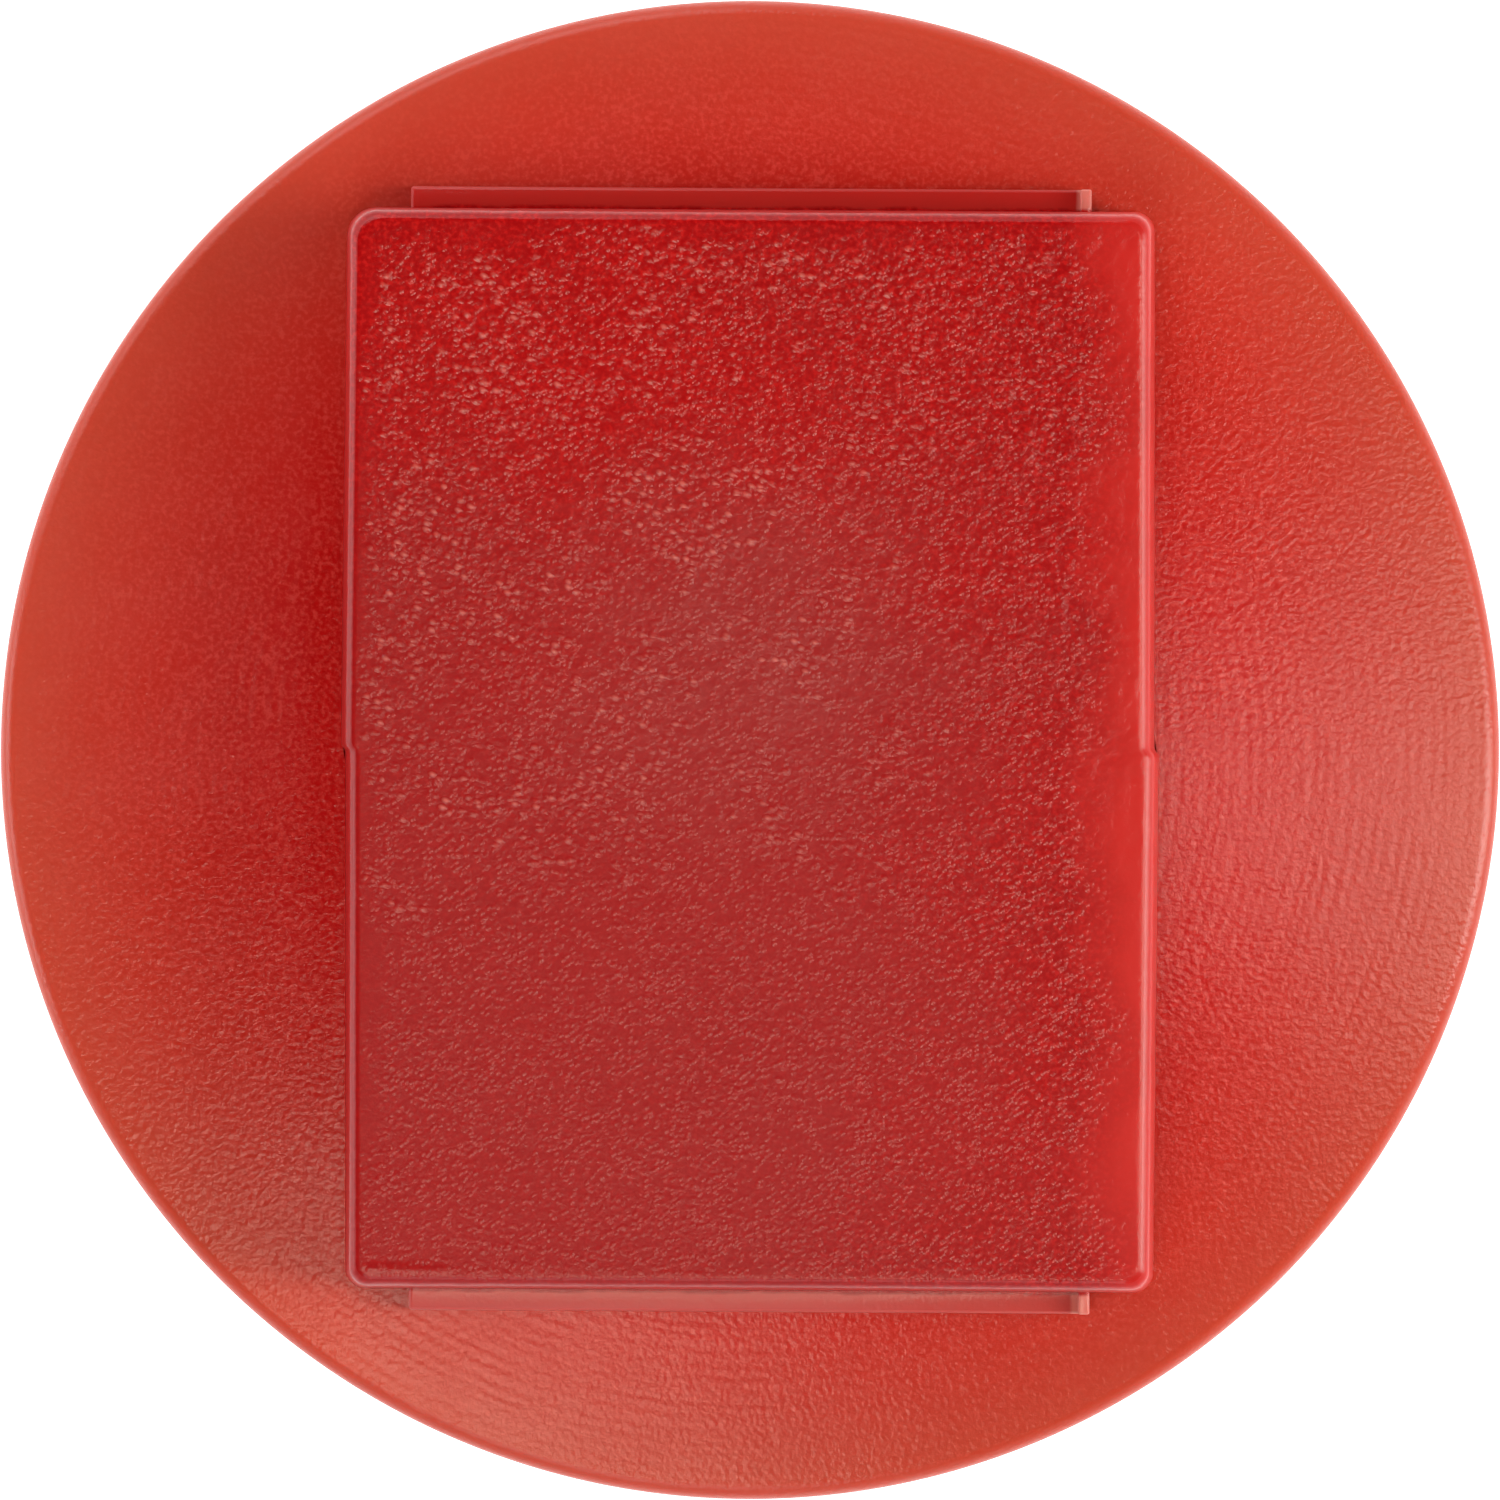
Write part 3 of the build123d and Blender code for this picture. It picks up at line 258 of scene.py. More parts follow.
def fitted(piece, body, material, stands_for=None, crease=32.0):
    """Shades a piece, gives it its material and fixes it to its body."""
    mesh = piece.data
    mesh.polygons.foreach_set("use_smooth", [True] * len(mesh.polygons))
    mesh.set_sharp_from_angle(angle=math.radians(crease))
    mesh.materials.clear()
    mesh.materials.append(material)
    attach(piece, body)
    if stands_for:
        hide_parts(stands_for)


def arc(centre, radius, start, end, steps):
    """Round stretch of a profile, angles in degrees."""
    angles = np.radians(np.linspace(start, end, steps))
    return [(centre[0] + radius * math.cos(a), centre[1] + radius * math.sin(a)) for a in angles]


class Finish:
    """A material on the piece's own coordinates, built from a few layers."""

    def __init__(self, name, roughness, metallic=0.0):
        self.material = bpy.data.materials.new(name)
        self.material.use_nodes = True
        self.tree = self.material.node_tree
        self.shader = self.tree.nodes["Principled BSDF"]
        self.shader.inputs["Metallic"].default_value = metallic
        self.shader.inputs["Roughness"].default_value = roughness
        self.place = self.tree.nodes.new("ShaderNodeTexCoord").outputs["Object"]
        self.normal = None

    def feed(self, socket, value):
        """Links a pattern to a socket, or sets a number or colour on it."""
        if isinstance(value, bpy.types.NodeSocket):
            self.tree.links.new(value, socket)
        else:
            socket.default_value = value

    def node(self, kind, **inputs):
        """A node with the inputs that are named."""
        made = self.tree.nodes.new(kind)
        for name, value in inputs.items():
            self.feed(made.inputs[name], value)
        return made

    def combined(self, operation, one, other):
        """A math node on two patterns or numbers."""
        made = self.tree.nodes.new("ShaderNodeMath")
        made.operation = operation
        self.feed(made.inputs[0], one)
        self.feed(made.inputs[1], other)
        return made.outputs[0]

    def noise(self, size, detail=2.0, stretch=(1.0, 1.0, 1.0)):
        """Noise with grains of one size in metres; a smaller stretch draws the grains out along an axis."""
        moved = self.node("ShaderNodeMapping", Vector=self.place, Scale=stretch)
        made = self.node("ShaderNodeTexNoise", Vector=moved.outputs[0], Scale=1 / size, Detail=detail)
        return made.outputs["Fac"]

    def spread(self, source, low, high, start=0.35, end=0.65):
        """The source carried from its start..end range to low..high."""
        made = self.node("ShaderNodeMapRange", Value=source)
        for name, value in (("From Min", start), ("From Max", end), ("To Min", low), ("To Max", high)):
            made.inputs[name].default_value = value
        return made.outputs["Result"]

    def cells(self, size, turn=0.0, stretch=(1.0, 1.0, 1.0)):
        """Round grains, 1 in the middle of a cell and 0 at its edge, and a number for each cell."""
        moved = self.node("ShaderNodeMapping", Vector=self.place, Rotation=(0.0, 0.0, turn), Scale=stretch)
        moved.vector_type = "TEXTURE"
        made = self.node("ShaderNodeTexVoronoi", Vector=moved.outputs[0], Scale=1 / size)
        split = self.node("ShaderNodeSeparateXYZ", Vector=made.outputs["Color"])
        return self.spread(made.outputs["Distance"], 1.0, 0.0, 0.05, 0.55), split.outputs["X"]

    def times(self, *factors):
        """Product of patterns or numbers."""
        result = factors[0]
        for factor in factors[1:]:
            result = self.combined("MULTIPLY", result, factor)
        return result

    def radius(self, x, y):
        """Distance in metres from an upright line."""
        shift, flatten = (-x, -y, 0.0), (1.0, 1.0, 0.0)
        flat = self.node("ShaderNodeMapping", Vector=self.place, Location=shift, Scale=flatten)
        made = self.tree.nodes.new("ShaderNodeVectorMath")
        made.operation = "LENGTH"
        self.tree.links.new(flat.outputs[0], made.inputs[0])
        return made.outputs["Value"]

    def larger(self, one, other):
        """The larger of two patterns."""
        return self.combined("MAXIMUM", one, other)

    def border(self, axis, start, end, low=0.0, high=1.0, wander=0.5 * mm, size=3.0 * mm):
        """Goes from low to high between two places along an axis, which wander by a noise of a size."""
        split = self.node("ShaderNodeSeparateXYZ", Vector=self.place)
        drift = self.spread(self.noise(size, 3), -wander, wander)
        return self.spread(self.combined("ADD", split.outputs[axis], drift), low, high, start, end)

    def colour(self, base, other, pattern):
        """Base colour that drifts to another one over a pattern from 0 to 1."""
        mix = self.tree.nodes.new("ShaderNodeMix")
        mix.data_type = "RGBA"
        self.tree.links.new(pattern, mix.inputs["Factor"])
        for socket, value in ((mix.inputs[6], base), (mix.inputs[7], other)):
            self.feed(socket, (*value, 1) if isinstance(value, tuple) else value)
        self.tree.links.new(mix.outputs[2], self.shader.inputs["Base Color"])
        return mix.outputs[2]

    def gloss(self, pattern):
        """Roughness that follows a pattern."""
        self.tree.links.new(pattern, self.shader.inputs["Roughness"])

    def relief(self, pattern, depth):
        """Surface relief of a depth in metres, laid over the relief there is."""
        made = self.node("ShaderNodeBump", Height=pattern, Strength=1.0, Distance=depth)
        if self.normal:
            self.tree.links.new(self.normal, made.inputs["Normal"])
        self.normal = made.outputs["Normal"]
        self.tree.links.new(self.normal, self.shader.inputs["Normal"])


head_r = head_high.x
deck_z = head_high.z
rim_radius = 0.45 * mm
dome_drop = 0.8 * mm
rim_band = 2.6 * mm
head_taper = 1.3 * mm
head_wall = 1.8 * mm
deck_low_z = deck_z - 2.4 * mm
rim_low_z = deck_low_z - 6.4 * mm
hub_r = 8.0 * mm
hub_low_z = deck_low_z - 4.2 * mm
skirt_out_r = 13.8 * mm
skirt_in_r = 12.6 * mm
pocket_r = 5.53 * mm
pocket_top_z = hub_low_z + 2.2 * mm
tongue_r = (4.63 * mm, 5.9 * mm)
tongue_half = 1.45 * mm
bore_r = 3.05 * mm
washer_room_r = 4.9 * mm
cap_seat_z = deck_z - 0.8 * mm
washer_seat_z = cap_seat_z - 0.93 * mm
head_rib_count = 8
head_rib_height = 4.0 * mm
head_rib_thickness = 1.0 * mm
head_rib_root = 0.6 * mm
turning_pitch = 0.35 * mm
turning_depth = 0.0045 * mm
turned_from = 10.4 * mm
around_head = 384
# painted sheen: the paler, more orange red laid over the deck towards the rim
rim_sheen_red = (0.66, 0.080, 0.040)
deck_step = 0.6 * mm
head_foot_edge = 0.2 * mm


def dome_z(radius):
    """Level of the slightly domed deck at a distance from the axis."""
    return deck_z - dome_drop * (radius / head_r) ** 2


def head_profile():
    """Closed outline of the head from the bore, over the deck and rim, and back along the underside."""
    rim_start = head_r - rim_radius
    low_r = head_r - head_taper
    points = [(bore_r, pocket_top_z), (bore_r, washer_seat_z), (washer_room_r, washer_seat_z)]
    points += [(r, dome_z(r)) for r in np.arange(washer_room_r, turned_from, deck_step)]
    points += [(r, dome_z(r)) for r in np.arange(turned_from, rim_start, turning_pitch / 6)]
    points += arc((rim_start, dome_z(rim_start) - rim_radius), rim_radius, 87, 0, 14)
    points += [(head_r, dome_z(head_r) - rim_band), (low_r, rim_low_z + head_foot_edge)]
    points += [(low_r - head_foot_edge, rim_low_z), (low_r - head_wall, rim_low_z)]
    points += [(head_r - head_wall, deck_low_z - rim_band / 2)]
    points += [(head_r - head_wall - rim_radius, deck_low_z), (skirt_out_r, deck_low_z)]
    points += [(skirt_out_r, head_low.z), (skirt_in_r, head_low.z), (skirt_in_r, deck_low_z)]
    points += [(hub_r, deck_low_z), (hub_r, hub_low_z), (pocket_r, hub_low_z), (pocket_r, pocket_top_z)]
    return points


def turning_marks(r, turn, z):
    """Height of the concentric marks on the deck, uneven from ring to ring and slowly round each ring."""
    on_deck = (r > turned_from) & (r < head_r - rim_radius / 2) & (z > deck_z - dome_drop - 0.3 * mm)
    drift = bumps(r * np.cos(turn), r * np.sin(turn), 1.1 * mm, 11)
    ring = bumps(r, r * 0, turning_pitch * 0.8, 12)
    fine = np.sin(2 * math.pi * r / turning_pitch + 1.2 * ring)
    return np.where(on_deck, turning_depth * (0.62 * fine + 0.5 * ring) * (0.6 + 0.6 * drift), 0.0)


cap_length = 28.8 * mm
cap_mid_width = 21.68 * mm
cap_end_width = 21.52 * mm
parting_shift = 0.12 * mm
seat_gap = 0.006 * mm
hook_x = 3.5 * mm
hook_y = 10.4 * mm
hook_width = 3.0 * mm
hook_thickness = 1.2 * mm
end_rib_length = 18.1 * mm
end_rib_proud = 0.55 * mm
cap_wall = 1.45 * mm
slot_gap = 0.15 * mm
cap_corner_r = 0.55 * mm
cap_first_corner_r = 0.80 * mm
cap_corner_fade = 3 * mm
parting_blend = 0.06 * mm


def cap_plan(u, v, inset):
    """Plan point of the cap's outline or face; u and v run from -1 to 1 across it.

    The two halves step aside along the parting line in the middle, and the corners sharpen with the inset.
    """
    half_y = cap_length / 2 - inset
    half_x = cap_mid_width / 2 + (cap_end_width - cap_mid_width) / 2 * np.abs(v) - inset
    x, y = u * half_x, v * half_y
    corner = np.where((x < 0) & (y > 0), cap_first_corner_r, cap_corner_r) * (1 - inset / cap_corner_fade)
    over_x, over_y = np.abs(x) - (half_x - corner), np.abs(y) - (half_y - corner)
    in_corner = (over_x > 0) & (over_y > 0)
    reach = np.hypot(over_x, over_y) + 1e-12
    shrink = np.maximum(over_x, over_y) / reach
    x = np.where(in_corner, np.sign(x) * (half_x - corner + over_x * shrink), x)
    y = np.where(in_corner, np.sign(y) * (half_y - corner + over_y * shrink), y)
    return x - np.tanh(y / parting_blend) * parting_shift / 2, y


def head_pockets():
    """Seat of the grip cap in the deck, its two end recesses and four hook slots."""
    through_z = (deck_low_z - 1 * mm, deck_z + 1 * mm)
    even = np.linspace(-1, 1, 81)
    us = np.concatenate([even, even * 0 + 1, -even, even * 0 - 1])
    vs = np.concatenate([even * 0 - 1, even, even * 0 + 1, -even])
    x, y = cap_plan(us, vs, -seat_gap)
    apart = np.hypot(x - np.roll(x, 1), y - np.roll(y, 1)) > 1e-6
    ring = list(zip(x[apart], y[apart]))
    count = len(ring)
    points = [(a, b, z) for z in (cap_seat_z, through_z[1]) for a, b in ring]
    walls = [(a, b, count + b, count + a) for a, b in ring_pairs(count)]
    shapes = [(points, [tuple(reversed(range(count))), tuple(range(count, 2 * count))] + walls)]
    half = end_rib_length / 2 + seat_gap
    for side in (1, -1):
        shift = -side * parting_shift / 2
        rib_y = side_span(side, cap_length / 2 - cap_wall, cap_length / 2 + end_rib_proud + seat_gap)
        shapes.append(brick((shift - half, shift + half), rib_y, (cap_seat_z, through_z[1])))
        slot_y = side_span(side, hook_y - hook_thickness - slot_gap, hook_y + seat_gap)
        for x in (-hook_x, hook_x):
            slot_x = (x - hook_width / 2 - slot_gap, x + hook_width / 2 + slot_gap)
            shapes.append(brick(slot_x, slot_y, through_z))
    return shapes


def head_ribs():
    """Stiffening ribs between skirt and rim, and the two tongues that turn the rotor."""
    half = head_rib_thickness / 2
    rib_r = (skirt_out_r - head_rib_root, head_r - head_taper)
    rib_z = (deck_low_z - head_rib_height, deck_low_z + head_rib_root)
    rib_turns = [2 * math.pi / head_rib_count * (number + 0.5) for number in range(head_rib_count)]
    tongue_y = (-tongue_half, tongue_half)
    tongue_z = (hub_low_z, pocket_top_z + 0.4 * mm)
    shapes = [brick(rib_r, (-half, half), rib_z, turn) for turn in rib_turns]
    return shapes + [brick(tongue_r, tongue_y, tongue_z, turn) for turn in (0, math.pi)]


def signal_red(name, roughness, haze, deep, light, speck, grain, depth):
    """Signal red moulding plastic: pigment clouds, uneven gloss, a sandy skin and a red glow under it."""
    finish = Finish(name, roughness)
    clouds = finish.spread(finish.noise(6.0 * mm, 3), 0.0, 1.0)
    specks = finish.spread(finish.noise(0.13 * mm, 2), 0.0, 1.0)
    finish.tint = finish.colour(finish.colour(deep, light, clouds), speck, finish.times(specks, specks))
    finish.gloss(finish.spread(finish.noise(2.4 * mm, 4), roughness - haze, roughness + haze))
    finish.relief(finish.noise(grain, 3), depth)
    finish.shader.inputs["Subsurface Weight"].default_value = 0.2
    finish.shader.inputs["Subsurface Radius"].default_value = (1.0, 0.06, 0.04)
    finish.shader.inputs["Subsurface Scale"].default_value = 1.2 * mm
    return finish


def turned_insert(finish, sheen_from, sheen_to):
    """The lathe-faced mould leaves a gloss that runs round the axis, and a painted sheen turns the deck paler
    and more orange towards the rim.
    """
    around = finish.tree.nodes.new("ShaderNodeTangent")
    around.direction_type = "RADIAL"
    around.axis = "Z"
    finish.tree.links.new(around.outputs[0], finish.shader.inputs["Tangent"])
    finish.shader.inputs["Anisotropic"].default_value = 0.92
    finish.shader.inputs["Anisotropic Rotation"].default_value = 0.25
    # painted sheen: the top of the deck is coloured paler towards the rim, as if catching light from the side
    pale = finish.spread(finish.radius(0.0, 0.0), 0.0, 1.0, sheen_from, sheen_to)
    on_deck = finish.border("Z", deck_z - 2.6 * mm, deck_z - 1.3 * mm, wander=0.1 * mm, size=1.0 * mm)
    finish.colour(finish.tint, rim_sheen_red, finish.times(pale, pale, on_deck))


red_deck = signal_red(
    "red_head_plastic",
    roughness=0.20,
    haze=0.02,
    deep=(0.57, 0.0030, 0.0030),
    light=(0.62, 0.0040, 0.0040),
    speck=(0.72, 0.042, 0.032),
    grain=0.16 * mm,
    depth=0.014 * mm,
)
turned_insert(red_deck, sheen_from=11 * mm, sheen_to=20.4 * mm)
head = solid("mushroom_head_moulding", *wrapped(head_profile(), around_head, turning_marks))
worked(head, "UNION", head_ribs())
worked(head, "DIFFERENCE", head_pockets())
fitted(head, "head", red_deck.material, "mushroom_head")

# ---------------------------------------------------------------- grip cap
# The raised block is a second moulding in the same red, snapped into the deck. Its two mould halves meet
# a little out of line, its face was spark-eroded, and low ribs with one peg each stand at its ends.

cap_top_z = Vector(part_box("grip_cap")[1]).z
cap_draft = math.tan(math.radians(2.0))
face_top_z = cap_top_z - 0.045 * mm
cap_inset = cap_draft * (face_top_z - deck_z)
cap_edge_r = 0.31 * mm
cap_roof = 1.6 * mm
face_cell = 0.095 * mm
face_fade = 0.015
wall_rows = 34
coarse_height = 0.006 * mm
slow_height = 0.004 * mm
burr_height = 0.060 * mm
burr_width = 0.10 * mm
burr_end_x = -7.8 * mm
end_rib_rise = 1.0 * mm
end_rib_fall = 0.22 * mm
end_rib_edge = 0.09 * mm
peg_width = 0.30 * mm
peg_rise = 0.45 * mm
peg_edge = 0.06 * mm
catch_height = 1.2 * mm
catch_reach = 0.5 * mm


def face_places(length):
    """Even places from -1 to 1 over a length, about one face cell apart."""
    return np.linspace(-1, 1, int(round(length / face_cell)) + 1)


def face_grain(x, y):
    """Spark-eroded relief of the face, coarse towards the upper end, with a burr at its lower left edge."""
    upper = 1 / (1 + np.exp(-(y + 2.0 * mm + 1.5 * mm * bumps(x, y, 6 * mm, 21)) / (1.6 * mm)))
    coarse = bumps(x, y, 0.21 * mm, 22)
    slow = bumps(x, y, 1.7 * mm, 25)
    burr_y = -cap_length / 2 + cap_inset + cap_edge_r + 0.14 * mm - 0.03 * (x + cap_mid_width / 2)
    burr = np.exp(-((y - burr_y) / burr_width) ** 2) / (1 + np.exp((x - burr_end_x) / (0.3 * mm)))
    return coarse_height * upper * coarse + slow_height * slow + burr_height * burr


def cap_shell():
    """Closed skin of the cap: grained face, rounded edge, drafted walls, foot and hollow inside.

    The face is a grid; every further level is a ring of the grid's border at one inset and one height.
    """
    us, vs = face_places(cap_mid_width), face_places(cap_length)
    columns, rows = len(us), len(vs)
    u, v = np.meshgrid(us, vs, indexing="ij")
    x, y = cap_plan(u, v, cap_inset + cap_edge_r)
    fade = np.clip((1 - np.maximum(np.abs(u), np.abs(v))) / face_fade, 0, 1)
    face_z = np.minimum(cap_top_z, face_top_z + face_grain(x, y) * fade)
    points = [np.stack([x, y, face_z], axis=-1).reshape(-1, 3)]
    faces = [
        (i * rows + j, (i + 1) * rows + j, (i + 1) * rows + j + 1, i * rows + j + 1)
        for i in range(columns - 1)
        for j in range(rows - 1)
    ]
    edge = [(i, 0) for i in range(columns - 1)] + [(columns - 1, j) for j in range(rows - 1)]
    edge += [(i, rows - 1) for i in range(columns - 1, 0, -1)] + [(0, j) for j in range(rows - 1, 0, -1)]
    edge_u = np.array([us[i] for i, j in edge])
    edge_v = np.array([vs[j] for i, j in edge])
    levels = [
        (cap_inset + cap_edge_r * (1 - math.sin(turn)), face_top_z - cap_edge_r * (1 - math.cos(turn)))
        for turn in np.radians(np.linspace(10, 90, 9))
    ]
    wall_z = np.linspace(face_top_z - cap_edge_r, cap_seat_z, wall_rows)
    levels += [(cap_draft * max(z - deck_z, 0.0), z) for z in wall_z[1:]]
    levels += [(cap_wall, cap_seat_z), (cap_inset + cap_wall, cap_top_z - cap_roof)]
    last = [i * rows + j for i, j in edge]
    count, n = columns * rows, len(edge)
    on_end, on_side = np.abs(edge_v) > 0.999, np.abs(edge_u) > 0.999
    for inset, z in levels:
        x, y = cap_plan(edge_u, edge_v, inset)
        on_wall = cap_seat_z < z < face_top_z - 0.05 * mm and inset < cap_inset + cap_edge_r
        along = np.where(on_side, y, x)
        push = coarse_height * bumps(along, along * 0 + z, 0.2 * mm, 26) if on_wall else 0 * x
        x = x + np.where(on_side, np.sign(edge_u), 0) * push
        y = y + np.where(on_end, np.sign(edge_v), 0) * push
        points.append(np.stack([x, y, np.full_like(x, z)], axis=-1))
        here = list(range(count, count + n))
        count += n
        faces += [(last[a], last[b], here[b], here[a]) for a, b in ring_pairs(n)]
        last = here
    faces.append(tuple(reversed(last)))
    return np.concatenate(points), faces


def softened(shape, radius):
    """The shape with its edges rounded."""
    points, faces = shape
    piece = bmesh.new()
    made = [piece.verts.new(p) for p in points]
    for face in faces:
        piece.faces.new([made[k] for k in face])
    bmesh.ops.recalc_face_normals(piece, faces=piece.faces)
    bmesh.ops.bevel(piece, geom=piece.edges, offset=radius, segments=3, affect="EDGES", profile=0.5)
    piece.verts.index_update()
    result = ([tuple(v.co) for v in piece.verts], [tuple(v.index for v in f.verts) for f in piece.faces])
    piece.free()
    return result


def cap_extras():
    """End ribs with their pegs, and the four snap hooks under the roof."""
    shapes = []
    rib_top = deck_z + end_rib_rise
    catch_low = deck_low_z - catch_height
    outer = cap_length / 2 + end_rib_proud
    for side in (1, -1):
        shift = -side * parting_shift / 2
        rib_y = side_span(side, cap_length / 2 - cap_wall, outer)
        right = shift + end_rib_length / 2
        points, faces = brick((shift - end_rib_length / 2, right), rib_y, (cap_seat_z, rib_top))
        points = [(x, y, z - end_rib_fall if y == side * outer and z == rib_top else z) for x, y, z in points]
        shapes.append(softened((points, faces), end_rib_edge))
        peg = brick((right - peg_width, right), rib_y, (cap_seat_z, rib_top + peg_rise))
        shapes.append(softened(peg, peg_edge))
        shank_y = side_span(side, hook_y - hook_thickness, hook_y)
        catch_y = side_span(side, hook_y - hook_thickness, hook_y + catch_reach)
        for x in (-hook_x, hook_x):
            hook_span = (x - hook_width / 2, x + hook_width / 2)
            shapes.append(brick(hook_span, shank_y, (catch_low, cap_top_z - cap_roof + 0.3 * mm)))
            shapes.append(brick(hook_span, catch_y, (catch_low, deck_low_z - seat_gap)))
    return shapes


# colours laid over the cap's own red; all of them are painted light: a haze of reflection, a central
# highlight, a lit right margin, a shaded upper rib, a lit lower rib, lit pegs and glints on the grains
painted_haze_red = (0.37, 0.0070, 0.0075)
painted_highlight_red = (0.40, 0.046, 0.042)
lit_margin_red = (0.68, 0.026, 0.020)
shaded_upper_rib_red = (0.55, 0.024, 0.018)
lit_lower_rib_red = (0.62, 0.080, 0.065)
lit_peg_red = (0.80, 0.24, 0.19)
glint_red = (0.86, 0.22, 0.17)


def eroded_face(finish):
    """Spark-eroded skin: separate glossy grains, coarse at the upper end and finer and hazier lower down,
    with painted light in its colour: a painted haze, a painted highlight, a lit right margin, a shaded and a
    lit end rib, lit pegs and painted glints on the grains.
    """
    inner = finish.times(
        finish.border("X", 8.7 * mm, 9.7 * mm, 1.0, 0.0, wander=0.7 * mm),
        finish.border("X", -10.3 * mm, -9.8 * mm, size=3.5 * mm),
        finish.border("Y", 13.0 * mm, 13.9 * mm, 1.0, 0.0, size=2.5 * mm),
        finish.border("Y", -14.2 * mm, -13.9 * mm, wander=0.1 * mm, size=2.5 * mm),
    )
    upper = finish.border("Y", -5.0 * mm, 3.0 * mm, 0.25, 1.0, wander=4.0 * mm, size=5.0 * mm)
    haze = finish.times(
        finish.border("Y", 1.0 * mm, 13.0 * mm, 1.0, 0.0, wander=2.5 * mm, size=6.0 * mm),
        finish.border("X", 2.0 * mm, 9.5 * mm, 1.0, 0.25, wander=2.0 * mm, size=5.0 * mm),
    )
    # painted reflection: the lower and left parts of the face are coloured duller and greyer, as a haze of
    # reflected light; the same mask also raises the roughness there
    body = finish.colour(finish.tint, painted_haze_red, finish.times(haze, 0.7))
    # painted highlight: a soft, paler patch a little above the middle of the face
    bloom = finish.times(
        finish.spread(finish.radius(-0.6 * mm, 2.8 * mm), 0.42, 0.0, 1.5 * mm, 6.5 * mm),
        finish.spread(finish.noise(1.6 * mm, 4), 0.5, 1.0),
    )
    body = finish.colour(body, painted_highlight_red, bloom)
    # painted light: the right margin of the face, towards the main lamps, is coloured a brighter red
    body = finish.colour(body, lit_margin_red, finish.border("X", 8.4 * mm, 10.3 * mm))
    # painted light and shade: the rib at the lower end is coloured paler pink, as if lit, and the rib at the
    # upper end darker, as if in shade
    rib_start, rib_full = cap_length / 2, cap_length / 2 + 0.08 * mm
    upper_rib = finish.border("Y", rib_start, rib_full, wander=0.03 * mm, size=1.0 * mm)
    lower_rib = finish.border("Y", -rib_full, -rib_start, 1.0, 0.0, wander=0.03 * mm, size=1.0 * mm)
    body = finish.colour(body, shaded_upper_rib_red, upper_rib)
    body = finish.colour(body, lit_lower_rib_red, lower_rib)
    # painted highlight: the pegs at the right ends of the ribs are coloured bright pink, as if catching the
    # light from the right
    at_pegs = finish.border("X", 8.58 * mm, 8.68 * mm, wander=0.02 * mm, size=1.0 * mm)
    body = finish.colour(body, lit_peg_red, finish.times(finish.larger(upper_rib, lower_rib), at_pegs))
    coarse, chance = finish.cells(0.18 * mm, math.radians(-22), (1.6, 1.0, 1.0))
    patches = finish.spread(finish.noise(2.6 * mm, 3), 0.1, 1.0, 0.40, 0.56)
    sparser = finish.border("X", 1.0 * mm, 6.0 * mm, 1.0, 0.5, wander=1.0 * mm, size=4.0 * mm)
    coarse = finish.times(coarse, finish.spread(chance, 0.0, 1.0, 0.2, 1.0), upper, inner, patches, sparser)
    fine, luck = finish.cells(0.14 * mm)
    fine = finish.times(fine, finish.spread(luck, 0.0, 1.0, 0.0, 0.9), inner)
    # painted glints: the tops of the grains are coloured pale pink, as if each grain caught the light
    painted_glints = finish.larger(finish.spread(coarse, 0.0, 0.62, 0.15, 0.80), finish.times(fine, 0.13))
    finish.colour(body, glint_red, painted_glints)
    level = finish.tree.nodes.new("ShaderNodeNewGeometry").outputs["Normal"]
    rise = finish.node("ShaderNodeSeparateXYZ", Vector=level).outputs["Z"]
    edge = finish.spread(rise, 1.0, 0.0, 0.90, 0.99)
    face_gloss = finish.spread(haze, 0.16, 0.25, 0.0, 1.0)
    edge_gloss = finish.spread(edge, 0.10, 0.32, 0.0, 1.0)
    finish.gloss(finish.larger(face_gloss, edge_gloss))
    finish.relief(coarse, 0.030 * mm)
    finish.relief(fine, 0.012 * mm)


red_cap = signal_red(
    "red_cap_plastic",
    roughness=0.26,
    haze=0.04,
    deep=(0.38, 0.002, 0.003),
    light=(0.44, 0.003, 0.004),
    speck=(0.60, 0.010, 0.009),
    grain=0.12 * mm,
    depth=0.006 * mm,
)
eroded_face(red_cap)
cap = solid("grip_cap_moulding", *cap_shell())
worked(cap, "UNION", cap_extras())
fitted(cap, "head", red_cap.material, "grip_cap")

# ---------------------------------------------------------------- screws, washers, clips and pins
# Small steel hardware: pan and flat head screws, washers, the lever's pin and the clamps of the contact
# modules. All of it is stamped or turned from mild steel and zinc plated with a faint blue passivation.


def worn_edges(finish, radius):
    """0 on flat ground and 1 on the edges; it also rounds the edges for the light."""
    round_normal = finish.node("ShaderNodeBevel", Radius=radius).outputs["Normal"]
    true_normal = finish.tree.nodes.new("ShaderNodeNewGeometry").outputs["Normal"]
    meet = finish.tree.nodes.new("ShaderNodeVectorMath")
    meet.operation = "DOT_PRODUCT"
    finish.tree.links.new(round_normal, meet.inputs[0])
    finish.tree.links.new(true_normal, meet.inputs[1])
    finish.normal = round_normal
    return finish.spread(meet.outputs["Value"], 1.0, 0.0, 0.90, 0.995)


def plated_steel():
    """Zinc plate: bright crystals, blue and straw tints, and edges rubbed lighter."""
    finish = Finish("zinc_plate", 0.34, metallic=1.0)
    edges = worn_edges(finish, 0.08 * mm)
    tint = finish.spread(finish.noise(2.2 * mm, 3), 0.0, 1.0)
    body = finish.colour((0.58, 0.60, 0.63), (0.66, 0.63, 0.55), tint)
    finish.colour(body, (0.78, 0.78, 0.77), edges)
    finish.gloss(finish.spread(finish.noise(0.35 * mm, 4), 0.24, 0.44))
    finish.relief(finish.noise(0.09 * mm, 3), 0.0015 * mm)
    return finish


